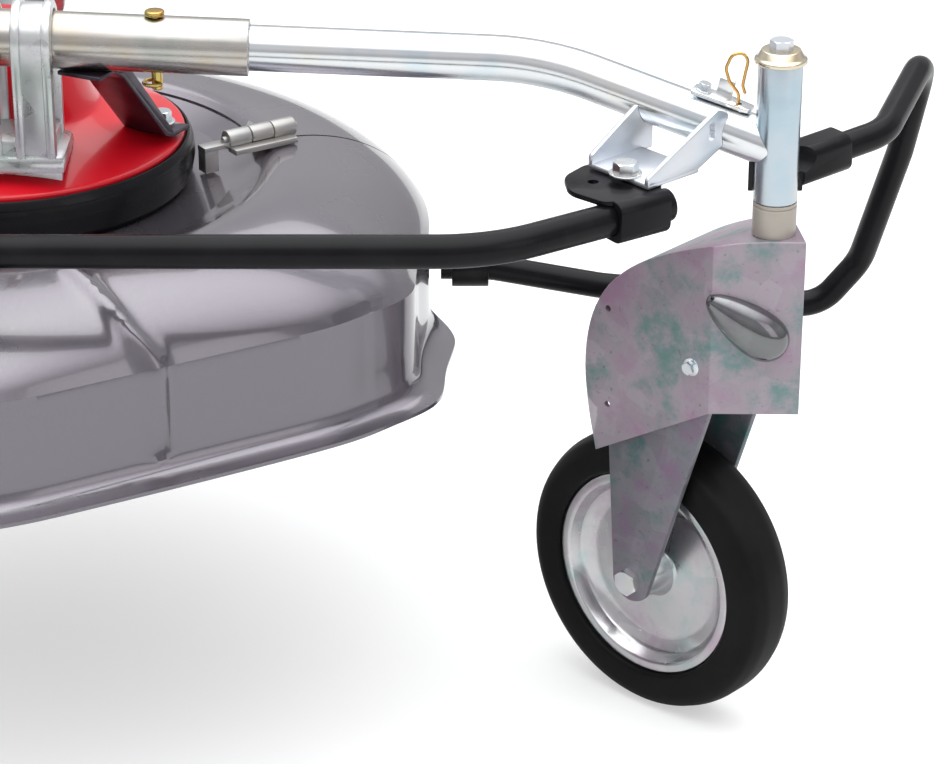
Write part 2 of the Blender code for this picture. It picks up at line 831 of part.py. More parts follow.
def build_knives():
    x0 = KNIFE_PIVOT_R
    tip = KNIFE_TIP_R - 2.5 * MM
    outline = rounded_outline(
        [(x0 - 24 * MM, -21 * MM), (tip - 14 * MM, -21 * MM), (tip, -6 * MM),
         (tip, 20 * MM), (x0 - 24 * MM, 21 * MM)], 6 * MM,
    )
    top = CARRIER_TOP_H - CARRIER_T - 0.6 * MM
    knife = prism(outline, up(top - KNIFE_T), up(top))
    pin = Vector((x0, 0, up(top)))
    reach = Z_AXIS * 20 * MM
    cut(knife, hole(pin - reach, pin + reach, KNIFE_PIN_R + TURN_GAP))
    axis = Vector((x0, 0, up(top)))
    knife.name = "knife_one"
    other = knife.data.copy()
    other.transform(Matrix.Rotation(math.pi, 4, "Z"))
    second = bpy.data.objects.new("knife_two", other)
    bpy.context.scene.collection.objects.link(second)
    finish(knife, "knife_one", (STEEL, 1.0, 0.35), axis)
    finish(second, "knife_two", (STEEL, 1.0, 0.35), Vector((-x0, 0, up(top))))


# Arms


def sleeve_dir():
    return Vector((math.cos(ARM_SLOPE), 0, -math.sin(ARM_SLOPE)))


def sleeve_point(x):
    return Vector((x, ARM_Y, up(SLEEVE_H) - (x - SLEEVE_X[0]) * math.tan(ARM_SLOPE)))


def build_sleeves():
    sleeve = rod(sleeve_point(SLEEVE_X[0]), sleeve_point(SLEEVE_X[1]), SLEEVE_R, SLEEVE_BORE_R)
    pin = sleeve_point(PIN_X)
    cut(sleeve, hole(pin - Z_AXIS * 40 * MM, pin + Z_AXIS * 40 * MM, PIN_R + SLIDE_GAP))
    both_sides(sleeve, "sleeve", (ZINC, 0.9, 0.35))


def arm_path():
    start = sleeve_point(ARM_START_X)
    bend = sleeve_point(ARM_BEND_X)
    reach = (POST_AT.x - bend.x) / ARM_DIR.x
    end = bend + ARM_DIR * reach
    return rounded_path([start, bend, end], [190 * MM], 4)


def arm_point(u):
    return sleeve_point(ARM_BEND_X) + ARM_DIR * u


def arm_axes():
    side = Z_AXIS.cross(ARM_DIR).normalized()
    return Matrix((ARM_DIR, side, ARM_DIR.cross(side))).transposed()


def post_cutter(radius):
    base = Vector((POST_AT.x, POST_AT.y, up(-60 * MM)))
    return hole(base, base + Z_AXIS * 260 * MM, radius)


def build_arms():
    arm = swept_tube(arm_path(), ARM_R, ARM_R - ARM_WALL)
    half = PIN_R + SLIDE_GAP
    slot = block(
        (PIN_X - ARM_TRAVEL - 2 * MM - half, ARM_Y - half, up(60 * MM)),
        (PIN_X + half + 1 * MM, ARM_Y + half, up(150 * MM)),
    )
    cut(arm, slot, post_cutter(POST_R + REST_GAP))
    both_sides(arm, "arm_tube", (ZINC, 0.9, 0.35), sleeve_point(SLEEVE_X[1]))


def build_lynch_pins():
    """Pin through sleeve and slot, with a head on top and a ring clip below."""
    at = sleeve_point(PIN_X)
    seat = at + Z_AXIS * (SLEEVE_R + 0.6 * MM)
    low = at - Z_AXIS * (SLEEVE_R + 14 * MM)
    pin = rod(low, seat + Z_AXIS * 2 * MM, PIN_R)
    join(pin, rod(seat, seat + Z_AXIS * 4 * MM, 7.4 * MM))
    ring_at = low + Z_AXIS * 5 * MM
    path = []
    for i in range(11):
        angle = math.radians(30 + 300 * i / 10)
        path.append(ring_at + 7 * MM * Vector((math.cos(angle) - 0.4, math.sin(angle), 0)))
    join(pin, swept_tube(path, 1.6 * MM))
    both_sides(pin, "lynch_pin", (GOLD, 0.9, 0.35), seat)


def bracket_point(s, n):
    """A place on the bracket's floor: s towards the arm, n towards the nose."""
    return BRACKET_AT + BRACKET_DIR * s + BRACKET_SIDE * n


def build_brackets():
    """Folded pocket under the arm: a floor for the guard clamp between two cheeks."""
    low, high = up(36 * MM), up(40 * MM)
    wide = BRACKET_WIDE
    corners = [(0, 0), (0, wide), (52 * MM, wide), (52 * MM, 0)]
    floor = prism([tuple(bracket_point(s, n))[:2] for s, n in corners], low, high)
    bevel(floor, 1 * MM)
    axes = Matrix((BRACKET_DIR, Z_AXIS, BRACKET_DIR.cross(Z_AXIS))).transposed()
    far = [(0, 37), (62, 37), (62, 92), (48, 92), (22, 66), (0, 46)]
    near = [(0, 37), (48, 37), (81, 52), (81, 74), (70, 79), (0, 44)]
    for cheek, n in ((far, 0.2 * MM), (near, wide - 4.2 * MM)):
        profile = [(s * MM, up(h * MM)) for s, h in cheek]
        join(floor, prism(profile, 0, 4 * MM, bracket_point(0, n), axes))
    inner = swept_tube(arm_path(), ARM_R + REST_GAP)
    cut(floor, inner)
    spot = Vector((472 * MM, -196 * MM, high))
    join(floor, hex_bolt(spot - Z_AXIS * 0.5 * MM, Z_AXIS, 16 * MM, 9 * MM, 12 * MM, 2 * MM))
    both_sides(floor, "arm_bracket", (ZINC, 0.9, 0.35))


def guard_path():
    points = [
        Vector((4 * MM, GUARD_Y, up(GUARD_H))),
        Vector((375 * MM, GUARD_Y, up(GUARD_H))),
        Vector((502 * MM, -203 * MM, up(GUARD_H))),
    ]
    return rounded_path(points, [120 * MM], 3)


def build_front_guards():
    guard = swept_tube(guard_path(), GUARD_R, GUARD_R - TUBE_WALL)
    both_sides(guard, "front_guard", (BLACK, 0.1, 0.4))


def loop_points():
    plan = [
        (604, -145, 31), (667, -100, 36), (714, 30, 52), (702, 60, -40),
        (680, 100, -151), (648, 100, -191), (468, 100, -173),
    ]
    points = [Vector((x * MM, y * MM, up(h * MM))) for x, y, h in plan]
    ends = (EYE_X[1] - 1 * MM, EYE_X[0] - 9 * MM)
    return points + [EYE_AT + Vector((x, 0, 0)) for x in ends]


def loop_path():
    radii = [50 * MM, 46 * MM, 80 * MM, 40 * MM, 34 * MM, 120 * MM, 120 * MM]
    return rounded_path(loop_points(), radii)


def build_loop_guards():
    loop = swept_tube(loop_path(), LOOP_R, LOOP_R - TUBE_WALL)
    cut(loop, post_cutter(POST_R + REST_GAP + 4 * MM))
    both_sides(loop, "loop_guard", (BLACK, 0.1, 0.4))


def tube_clamp(start, end, radius, wall):
    """A folded strap round a tube, as a square sleeve with rounded corners."""
    along = (end - start).normalized()
    side = Z_AXIS.cross(along).normalized()
    axes = Matrix((side, along.cross(side), along)).transposed()
    reach = radius + wall
    outline = rounded_outline(
        [(-reach, -reach), (reach, -reach), (reach, reach), (-reach, reach)], 8 * MM
    )
    return prism(outline, 0, (end - start).length, start, axes)


CLAMP_TAB = ((428, -188), (431, -216), (458, -240), (500, -206), (478, -162), (446, -162))


def build_clamps():
    """Black folded clamps that hold the guard ends to the arm bracket and the post."""
    path = guard_path()
    end = path[-1]
    back = (path[-2] - end).normalized()
    start = end + back * 52 * MM
    clamp = tube_clamp(start, end + back * 8 * MM, GUARD_R, 3.4 * MM)
    tab = prism(
        rounded_outline([(x * MM, y * MM) for x, y in CLAMP_TAB], 8 * MM),
        up(31.4 * MM), up(35.6 * MM),
    )
    join(clamp, tab)
    cut(clamp, swept_tube([start + back * 10 * MM, end - back * 20 * MM], GUARD_R + REST_GAP))
    tab_hole = Vector((449 * MM, -199 * MM, up(20 * MM)))
    cut(clamp, hole(tab_hole, tab_hole + Z_AXIS * 30 * MM, 4 * MM))
    both_sides(clamp, "guard_clamp", (BLACK, 0.1, 0.4))
    points = loop_points()
    one = points[0]
    two = points[1]
    along = (two - one).normalized()
    first, second = one - along * 12 * MM, one + along * 34 * MM
    holder = tube_clamp(first, second, LOOP_R, 3.4 * MM)
    base, top = up(14 * MM), up(50 * MM)
    post = Vector((POST_AT.x, POST_AT.y, 0))
    stub = rod(post + Z_AXIS * base, post + Z_AXIS * top, POST_R + 4 * MM)
    reach = POST_R + 9 * MM
    front = block(
        (POST_AT.x - reach, POST_AT.y - reach, base - 1 * MM),
        (POST_AT.x + reach, POST_AT.y + 3 * MM, top + 1 * MM),
    )
    cut(stub, front)
    join(holder, stub)
    cut(holder, post_cutter(POST_R + REST_GAP))
    before = points[0] - along * 2 * MM
    bores = swept_tube([before] + loop_path(), LOOP_R + REST_GAP)
    cut(holder, bores)
    inner = swept_tube(arm_path() + [arm_point(215 * MM)], ARM_R + REST_GAP)
    cut(holder, inner)
    both_sides(holder, "loop_clamp", (BLACK, 0.1, 0.4))


def build_posts():
    base = Vector((POST_AT.x, POST_AT.y, up(POST_H[0])))
    top = Vector((POST_AT.x, POST_AT.y, up(POST_H[1])))
    post = rod(base, top, POST_R, POST_BORE_R)
    both_sides(post, "post_tube", (ZINC, 0.9, 0.3))


def build_locks():
    """Swivel lock plate on a small bolt, and the spring clip at its free end."""
    axes = arm_axes()
    pivot = arm_point(120 * MM)
    corners = [(-8, -8), (34, -7), (38, -5), (38, 7), (20, 9), (-8, 8)]
    outline = rounded_outline([(x * MM, y * MM) for x, y in corners], 3 * MM)
    low, high = ARM_R + 1.2 * MM, ARM_R + 4.2 * MM
    plate = prism(outline, low, high, pivot, axes)
    corners = [(8, 5), (20, 5), (20, 8), (8, 8)]
    hook = [(x * MM, y * MM) for x, y in corners]
    hook = prism(hook, high - 1 * MM, high + 12 * MM, pivot, axes)
    join(plate, hook)
    up_way = axes @ Z_AXIS
    seat = pivot + up_way * (high - 0.5 * MM)
    join(plate, hex_bolt(seat, up_way, 8 * MM, 5 * MM, 6 * MM, 1.2 * MM))
    clip_at = pivot + axes @ Vector((28 * MM, 0, 0))
    cut(plate, hole(clip_at, clip_at + up_way * 40 * MM, 1.8 * MM))
    both_sides(plate, "lock_plate", (ZINC, 0.9, 0.35), pivot + up_way * low)
    base = clip_at + up_way * (low - 0.6 * MM)
    shape = [
        (0, 0), (0, 9), (-1, 12), (-7, 20), (-10, 30), (-6, 40), (2, 42), (6, 36),
        (4, 26), (2.5, 17), (4.5, 11),
    ]
    wire = [base + Vector((x * MM, 0, z * MM)) for x, z in shape]
    wire = rounded_path(wire, [4 * MM] * (len(wire) - 2))
    clip = swept_tube(wire, 1.2 * MM)
    both_sides(clip, "spring_clip", (GOLD, 0.9, 0.35))


# Saddle and braces


def strap(x0, x1, inner, outer, low):
    """An inverted U over the sleeves, with straight legs down to a height."""
    axes = Matrix((Vector((0, 1, 0)), Z_AXIS, Vector((1, 0, 0)))).transposed()
    axis_h = sleeve_point((x0 + x1) / 2).z
    arc = [math.pi * i / 8 for i in range(9)]
    outline = [(ARM_Y + outer * math.cos(a), axis_h + outer * math.sin(a)) for a in arc]
    outline += [(ARM_Y - outer, low), (ARM_Y - inner, low)]
    outline += [(ARM_Y - inner * math.cos(a), axis_h + inner * math.sin(a)) for a in arc]
    outline += [(ARM_Y + inner, low), (ARM_Y + outer, low)]
    return prism(outline, x0, x1, axes=axes)


def build_saddles():
    """Ribbed strap over the sleeves, an inner strap, and the foot on the cover."""
    gap = SLEEVE_R + 0.9 * MM
    low = up(16 * MM)
    saddle = strap(30 * MM, 60 * MM, gap, gap + 5 * MM, low)
    bevel(saddle, 0.8 * MM)
    for x in (30.4 * MM, 52.6 * MM):
        join(saddle, strap(x, x + 7 * MM, gap + 2 * MM, gap + 8 * MM, low + 3 * MM))
    join(saddle, strap(10 * MM, 20 * MM, gap, gap + 4 * MM, low))
    wide = gap + 9 * MM
    shoe = block((8 * MM, ARM_Y - wide, up(14 * MM)), (66 * MM, ARM_Y + wide, up(27 * MM)))
    bevel(shoe, 2 * MM)
    rest = block((12 * MM, ARM_Y - 17 * MM, up(-2 * MM)), (62 * MM, ARM_Y + gap, up(16 * MM)))
    join(shoe, rest)
    join(saddle, shoe)
    wide = gap + 2 * MM
    cross = block((12 * MM, ARM_Y - wide, up(28 * MM)), (58 * MM, ARM_Y + wide, up(38 * MM)))
    join(saddle, cross)
    cut(saddle, cover_envelope(REST_GAP))
    inner, outer = COVER_R - 4 * MM, RING_R + 8 * MM
    low, high = up(-60 * MM), up(REST_GAP)
    cut(saddle, lathe([(inner, low), (outer, low), (outer, high), (inner, high)]))
    both_sides(saddle, "saddle", (CAST_LIGHT, 0.8, 0.45))


def brace_line():
    high = Vector((84 * MM, ARM_Y, 0))
    foot = Vector((126 * MM, -14 * MM, 0))
    return high, foot


def build_braces():
    """Folded channel strut from under the sleeve down to the rim of the cover."""
    high, foot = brace_line()
    along = (foot - high).normalized()
    axes = Matrix((along, Z_AXIS, along.cross(Z_AXIS))).transposed()
    line = [(-16, 86), (8, 86), (20, 78), (76, 14), (86, 10), (108, 9)]
    top = [(s * MM, up(h * MM)) for s, h in line]
    under = [(s * MM - 2.6 * MM, up(h * MM) - 3.2 * MM) for s, h in line]
    under[0] = (top[0][0], top[0][1] - 3.4 * MM)
    under[-1] = (top[-1][0], top[-1][1] - 3.4 * MM)
    brace = prism(top + under[::-1], -18 * MM, 18 * MM, high, axes)
    wall_top = [(-10, 85), (4, 85), (26, 81), (69, 30), (84, 12)]
    wall_low = [(84, 8.5), (75, 14), (18, 78), (6, 84), (-10, 84)]
    web = [(s * MM, up(h * MM)) for s, h in wall_top + wall_low]
    for low in (-18 * MM, 14.8 * MM):
        join(brace, prism(web, low, low + 3.2 * MM, high, axes))
    sleeve = rod(sleeve_point(0), sleeve_point(SLEEVE_X[1] + 40 * MM), SLEEVE_R + REST_GAP)
    cut(brace, sleeve, cover_envelope(REST_GAP))
    both_sides(brace, "brace", (ZINC, 0.9, 0.4))


def build_brace_bolts():
    high, foot = brace_line()
    along = (foot - high).normalized()
    spot = high + along * 97 * MM
    at = Vector((spot.x, spot.y, up(10.4 * MM) + REST_GAP))
    bolt = hex_bolt(at, Z_AXIS, 13 * MM, 8 * MM, 10 * MM, 2 * MM)
    both_sides(bolt, "brace_bolt", (ZINC, 0.9, 0.3))


# Guard supports on the deck


def build_nose_bracket():
    """Upright on the nose that carries the sleeve where the front guards meet."""
    low, high = up(-90 * MM), up(-26 * MM)
    foot = block((-30 * MM, GUARD_Y - 24 * MM, low), (30 * MM, GUARD_Y + 32 * MM, high))
    bevel(foot, 2 * MM)
    low, high = up(-60 * MM), up(GUARD_H)
    web = block((-26 * MM, GUARD_Y - 6 * MM, low), (26 * MM, GUARD_Y + 6 * MM, high))
    join(foot, web)
    cut(foot, deck_envelope(REST_GAP))
    middle = Vector((0, GUARD_Y, up(GUARD_H)))
    reach = Vector((60 * MM, 0, 0))
    cut(foot, hole(middle - reach, middle + reach, GUARD_R + 4.4 * MM))
    finish(foot, "nose_bracket", (BLACK, 0.1, 0.4))
    half = Vector((38 * MM, 0, 0))
    sleeve = rod(middle - half, middle + half, GUARD_R + 4 * MM, GUARD_R + 1.8 * MM)
    finish(sleeve, "guard_sleeve", (BLACK, 0.1, 0.4))


def build_eyes():
    """Guide eye on the side of the skirt for the lower end of the loop guard."""
    one = EYE_AT + Vector((EYE_X[0], 0, 0))
    two = EYE_AT + Vector((EYE_X[1], 0, 0))
    eye = rod(one, two, LOOP_R + 5.5 * MM)
    web = block(
        (SKIRT_R - 18 * MM, EYE_AT.y - 14 * MM, EYE_AT.z + 6 * MM),
        (EYE_X[1] - 6 * MM, EYE_AT.y + 4 * MM, EYE_AT.z + 17 * MM),
    )
    join(eye, web)
    cut(eye, hole(one - Vector((40 * MM, 0, 0)), two + Vector((20 * MM, 0, 0)), LOOP_R + 2.2 * MM))
    cut(eye, deck_envelope(REST_GAP))
    both_sides(eye, "guide_eye", (BLACK, 0.1, 0.4))


# Wheels


def fork_frame():
    return Matrix((TRAIL_DIR, FORK_SIDE, Z_AXIS)).transposed()


def fork_point(x, y, h):
    return Vector((POST_AT.x, POST_AT.y, 0)) + fork_frame() @ Vector((x, y, up(h)))


# Along the trail and height in millimetres: nose, crown and the curved rear
HOOD_OUTLINE = (
    (-38, -34), (-38, -17), (12, -17), (45, -30), (75, -44), (100, -60),
    (122, -82), (136, -110), (141, -146), (137, -182), (128, -219),
)


def fork_axes(two, three):
    return Matrix((TRAIL_DIR, two, three)).transposed()


def hood_plan(wall):
    """Plan of the hood: straight sides and two flats that meet on the nose."""
    half = HOOD_HALF - wall
    ridge = HOOD_NOSE_X + wall * math.hypot(HOOD_HALF, HOOD_BEND_X - HOOD_NOSE_X) / HOOD_HALF
    bend = ridge + half * (HOOD_BEND_X - HOOD_NOSE_X) / HOOD_HALF
    outline = [(ridge, 0), (bend, -half), (300 * MM, -half), (300 * MM, half), (bend, half)]
    axes = fork_axes(FORK_SIDE, Z_AXIS)
    return prism(outline, up(-420 * MM), up(30 * MM), Vector((POST_AT.x, POST_AT.y, 0)), axes)


def hood_form(outline, wall, edge):
    axes = fork_axes(Z_AXIS, TRAIL_DIR.cross(Z_AXIS))
    made = prism(outline, -80 * MM, 80 * MM, Vector((POST_AT.x, POST_AT.y, 0)), axes)
    boolean(made, [hood_plan(wall)], "INTERSECT")
    return bevel(made, edge, 2, 60)


def leg_outline():
    leg = [(24, -60), (40, -30), (75, -46.5), (100, -62.5), (117, -80), (122, -215)]
    leg = [(x * MM, up(h * MM)) for x, h in leg] + [(115 * MM, WHEEL_R)]
    for i in range(1, 7):
        angle = math.radians(-150 * i / 6)
        leg.append((TRAIL + 18 * MM * math.cos(angle), WHEEL_R + 18 * MM * math.sin(angle)))
    return leg + [(26 * MM, up(-160 * MM))]


def build_forks():
    """Pressed hood with a crown and a V nose, two inner legs to the axle, and the stem."""
    outer = [(x * MM, up(h * MM)) for x, h in HOOD_OUTLINE]
    low = up(-290 * MM)
    skin = hood_form(outer + [(128 * MM, low), (-38 * MM, low)], 0, 9 * MM)
    inner = [p for p in offset_profile(outer, -HOOD_WALL) if p[0] < 120 * MM]
    inner += [(180 * MM, inner[-1][1] - 30 * MM), (180 * MM, low - 40 * MM)]
    hollow = hood_form(inner + [(-40 * MM, low - 40 * MM)], HOOD_WALL, 6 * MM)
    axes = fork_axes(Z_AXIS, TRAIL_DIR.cross(Z_AXIS))
    centre = Vector((POST_AT.x, POST_AT.y, 0))
    lip = [(-60, -154), (20, -154), (128, -219), (260, -298), (260, -400), (-60, -400)]
    under = prism([(x * MM, up(h * MM)) for x, h in lip], -80 * MM, 80 * MM, centre, axes)
    cut(skin, hollow, under)
    for low_side in (-LEG_IN - LEG_T, LEG_IN):
        join(skin, prism(leg_outline(), low_side, low_side + LEG_T, centre, axes))
    head = rod(fork_point(0, 0, -32 * MM), fork_point(0, 0, -13 * MM), STEM_R + 1 * MM)
    stem = rod(fork_point(0, 0, -30 * MM), fork_point(0, 0, 122 * MM), STEM_R)
    collar = rod(fork_point(0, 0, -17 * MM), fork_point(0, 0, POST_H[0] - 1 * MM), POST_R)
    join(skin, head, stem, collar)
    axle_h = WHEEL_R - RIM_Z
    axle_ends = (fork_point(TRAIL, -90 * MM, axle_h), fork_point(TRAIL, 90 * MM, axle_h))
    cut(skin, hole(*axle_ends, AXLE_R + REST_GAP))
    both_sides(skin, "fork", (SILVER_GREY, 0.7, 0.4), fork_point(0, 0, -17 * MM))


def build_caps():
    seat = POST_H[1] + TURN_GAP
    loop = [(STEM_R + REST_GAP, seat), (CAP_R, seat), (CAP_R, seat + 3 * MM), (17 * MM, seat + 4.4 * MM),
            (14 * MM, 123 * MM), (0, 123 * MM), (0, 122.4 * MM), (STEM_R + REST_GAP, 122.4 * MM)]
    cap = lathe([(r, up(h)) for r, h in loop], POST_AT)
    top = Vector((POST_AT.x, POST_AT.y, up(122.7 * MM)))
    join(cap, hex_bolt(top, Z_AXIS, 15 * MM, 7.5 * MM))
    both_sides(cap, "stem_cap", (ZINC, 0.9, 0.3), Vector((POST_AT.x, POST_AT.y, up(seat))))


def wheel_lathe(profile):
    centre = fork_point(TRAIL, 0, WHEEL_R - RIM_Z)
    return lathe(profile, centre, FORK_SIDE)


def build_wheels():
    r = WHEEL_R
    w = TYRE_HALF
    tyre = wheel_lathe([
        (RIM_R + REST_GAP, -w), (r - 11 * MM, -w), (r - 4 * MM, -w + 4 * MM), (r, -w + 15 * MM),
        (r, w - 15 * MM), (r - 4 * MM, w - 4 * MM), (r - 11 * MM, w), (RIM_R + REST_GAP, w),
    ])
    centre = fork_point(TRAIL, 0, WHEEL_R - RIM_Z)
    both_sides(tyre, "tyre", (BLACK, 0.0, 0.7), centre)
    hub = LEG_IN - 1 * MM
    rim = wheel_lathe([
        (AXLE_R + TURN_GAP, -hub), (15 * MM, -hub), (22 * MM, -8 * MM), (60 * MM, -5 * MM),
        (71 * MM, -10 * MM), (76 * MM, -21 * MM), (RIM_R, -21 * MM),
        (RIM_R, 21 * MM), (76 * MM, 21 * MM), (71 * MM, 10 * MM),
        (60 * MM, 5 * MM), (22 * MM, 8 * MM), (15 * MM, hub), (AXLE_R + TURN_GAP, hub),
    ])
    both_sides(rim, "rim", (ZINC, 0.8, 0.35), centre)
    reach = LEG_IN + LEG_T + REST_GAP
    axle = rod(centre - FORK_SIDE * (reach + 1 * MM), centre + FORK_SIDE * (reach + 1 * MM), AXLE_R)
    for side in (-1, 1):
        join(axle, hex_bolt(centre + FORK_SIDE * side * reach, FORK_SIDE * side, 19 * MM, 7 * MM))
    both_sides(axle, "axle", (ZINC, 0.9, 0.3))


# Parking stand


def build_stand():
    low, high = up(-150 * MM), up(-92 * MM)
    socket = rod(Vector((0, STAND_Y, low)), Vector((0, STAND_Y, high)), STAND_LEG_R + 6 * MM)
    pad = block((-30 * MM, SKIRT_R - 10 * MM, low + 4 * MM), (30 * MM, STAND_Y - 4 * MM, high - 4 * MM))
    bevel(pad, 2 * MM)
    join(socket, pad)
    middle = Vector((0, STAND_Y, (low + high) / 2))
    reach = Z_AXIS * 40 * MM
    cut(socket, hole(middle - reach, middle + reach, STAND_LEG_R + SLIDE_GAP))
    cut(socket, deck_envelope(REST_GAP))
    finish(socket, "stand_socket", (BLACK, 0.1, 0.4))
    wide, deep, thick = STAND_FOOT
    foot = block((-wide / 2, STAND_Y - deep / 2, 0), (wide / 2, STAND_Y + deep / 2, thick))
    bevel(foot, 1 * MM)
    leg = rod(Vector((0, STAND_Y, thick - 2 * MM)), Vector((0, STAND_Y, up(-80 * MM))), STAND_LEG_R)
    join(foot, leg)
    finish(foot, "stand_leg", (ZINC, 0.9, 0.35), Vector((0, STAND_Y, 0)))


SILVER_GREY = (0.27, 0.25, 0.28)
ZINC = (0.62, 0.64, 0.67)
STEEL = (0.55, 0.56, 0.58)
CAST = (0.30, 0.30, 0.31)
CAST_LIGHT = (0.50, 0.50, 0.52)
RED = (0.55, 0.02, 0.02)
BLACK = (0.02, 0.02, 0.022)
DARK = (0.08, 0.08, 0.09)
GOLD = (0.70, 0.45, 0.12)


def build():
    clear_scene()
    build_deck()
    build_doors()
    build_hinge_leaves()
    build_cover()
    build_ring()
    build_gear_case()
    build_spindle()
    build_bearings()
    build_input()
    build_carrier()
    build_nut()
    build_knives()
    build_sleeves()
    build_arms()
    build_lynch_pins()
    build_brackets()
    build_front_guards()
    build_loop_guards()
    build_clamps()
    build_posts()
    build_locks()
    build_saddles()
    build_braces()
    build_brace_bolts()
    build_nose_bracket()
    build_eyes()
    build_forks()
    build_caps()
    build_wheels()
    build_stand()


build()
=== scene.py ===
"""The looks of the wheeled brush mower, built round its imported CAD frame.

Metres, +Z up, ground at Z = 0. The spindle axis is X = Y = 0 and the nose of the deck
points to -Y. Each side piece is built at +X (left) and mirrored to -X (right).
"""

import json
import math

import bmesh
import bpy
from mathutils import Matrix, Vector

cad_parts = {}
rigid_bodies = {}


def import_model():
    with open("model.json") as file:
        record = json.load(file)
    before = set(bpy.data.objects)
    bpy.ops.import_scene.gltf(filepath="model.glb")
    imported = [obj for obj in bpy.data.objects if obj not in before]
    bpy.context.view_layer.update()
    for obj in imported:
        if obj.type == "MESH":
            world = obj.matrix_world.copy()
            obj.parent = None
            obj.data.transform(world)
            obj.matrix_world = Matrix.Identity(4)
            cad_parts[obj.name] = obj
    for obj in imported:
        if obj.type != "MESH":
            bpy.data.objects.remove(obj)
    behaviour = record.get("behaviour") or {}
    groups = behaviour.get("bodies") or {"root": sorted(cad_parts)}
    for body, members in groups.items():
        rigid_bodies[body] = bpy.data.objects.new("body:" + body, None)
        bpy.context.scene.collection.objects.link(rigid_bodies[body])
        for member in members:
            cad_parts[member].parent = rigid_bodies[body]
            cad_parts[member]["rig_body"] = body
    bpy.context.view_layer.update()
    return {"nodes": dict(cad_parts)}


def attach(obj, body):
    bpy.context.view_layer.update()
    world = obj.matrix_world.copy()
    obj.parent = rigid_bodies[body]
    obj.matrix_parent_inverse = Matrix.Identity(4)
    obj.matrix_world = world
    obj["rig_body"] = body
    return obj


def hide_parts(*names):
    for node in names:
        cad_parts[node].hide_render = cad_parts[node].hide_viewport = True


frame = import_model()

MM = 0.001
X_AXIS = Vector((1, 0, 0))
Y_AXIS = Vector((0, 1, 0))
Z_AXIS = Vector((0, 0, 1))

# The solids give heights from the rim of the red cover
RIM_Z = 440 * MM

# Deck
DECK_WALL = 3 * MM
DECK_HOLE_R = 62 * MM
FLOOR_H = -40 * MM
RIDGE_R = 205 * MM
SKIRT_R = 330 * MM
FACET = SKIRT_R / 1.1
FACET_TURN = math.radians(30)
NOSE_ROUND = 8 * MM
CORNER_OUT = 14 * MM
CORNER_TURN = math.radians(67)
CORNER_WIDE = math.radians(6.5)
CORNER_BLEND = 6 * MM
LIP_OUT = 24 * MM
LIP_END = math.radians(97)
DECK_END_H = -165 * MM
DECK_STEPS = 480
DOOR_GAP = 2.4 * MM
DOOR_INNER_R = 198 * MM
DOOR_SIDE_X = 50 * MM
BEAD_LIFT = 5.2 * MM
BEAD_WIDE = 7 * MM

# Hinge of the left rear door
HINGE_AT = Vector((187 * MM, 30.5 * MM, RIM_Z - 16 * MM))
HINGE_DIR = Vector((0.8363, 0.5482, 0)).normalized()
HINGE_OUT = Vector((-HINGE_DIR.y, HINGE_DIR.x, 0))
KNUCKLE_R = 7.5 * MM
HINGE_PIN_R = 3 * MM
KNUCKLE_ENDS = (-18 * MM, 2 * MM, 22 * MM, 42 * MM)

# Hub
COVER_R = 142 * MM
COVER_WALL = 3 * MM
RING_R = 149.5 * MM
CASE_R = 50 * MM
CASE_TOP_H = 72 * MM
INPUT_H = 46 * MM
INPUT_TUBE_R = 22 * MM
INPUT_SHAFT_R = 10 * MM
INPUT_FACE_Y = 190 * MM

# Arms
ARM_Y = -100 * MM
ARM_SLOPE = math.radians(2.5)
SLEEVE_X = (6 * MM, 201 * MM)
SLEEVE_H = 110 * MM
SLEEVE_R = 21 * MM
SLEEVE_BORE_R = 17.6 * MM
ARM_R = 17 * MM
ARM_WALL = 3 * MM
ARM_START_X = 60 * MM
ARM_BEND_X = 416 * MM
ARM_DIR = Vector((0.907, -0.349, -0.236)).normalized()
PIN_X = 133 * MM
PIN_R = 4 * MM

# Swivel posts and forks
POST_AT = Vector((582 * MM, -165 * MM, 0))
POST_R = 16 * MM
POST_H = (9 * MM, 113 * MM)
STEM_R = 12.4 * MM
CAP_R = 19 * MM
TRAIL_DIR = Vector((-0.739, 0.674, 0)).normalized()
FORK_SIDE = Vector((-TRAIL_DIR.y, TRAIL_DIR.x, 0))
TRAIL = 97 * MM
HOOD_HALF = 44 * MM
HOOD_WALL = 4 * MM
LEG_IN = 30 * MM
LEG_T = 6 * MM
WHEEL_R = 115 * MM
TYRE_HALF = 25 * MM
TYRE_BORE_R = 84 * MM
AXLE_R = 6 * MM

# Guards
GUARD_R = 12 * MM
GUARD_Y = 10 * MM - FACET
GUARD_H = 20 * MM
LOOP_R = 11 * MM
TUBE_WALL = 2 * MM
EYE_X = (SKIRT_R + 17 * MM, SKIRT_R + 47 * MM)
EYE_AT = Vector((0, 100 * MM, RIM_Z - 156 * MM))


def up(h):
    return RIM_Z + h


# Shapes


def recalculate(bm):
    bmesh.ops.remove_doubles(bm, verts=bm.verts, dist=1e-6)
    bmesh.ops.recalc_face_normals(bm, faces=bm.faces)
    return bm


def place(bm, axes=None, at=None):
    """Turns a form to the given axes and moves it to a point."""
    turn = (axes or Matrix.Identity(3)).to_4x4()
    bmesh.ops.transform(bm, matrix=Matrix.Translation(at or Vector()) @ turn, verts=bm.verts)
    return bm


def axes_along(direction):
    """Axes whose third is the given direction."""
    return Z_AXIS.rotation_difference(direction).to_matrix()


def axes_of(one, two):
    """Axes from two directions at right angles, and the third from both."""
    return Matrix((one, two, one.cross(two))).transposed()


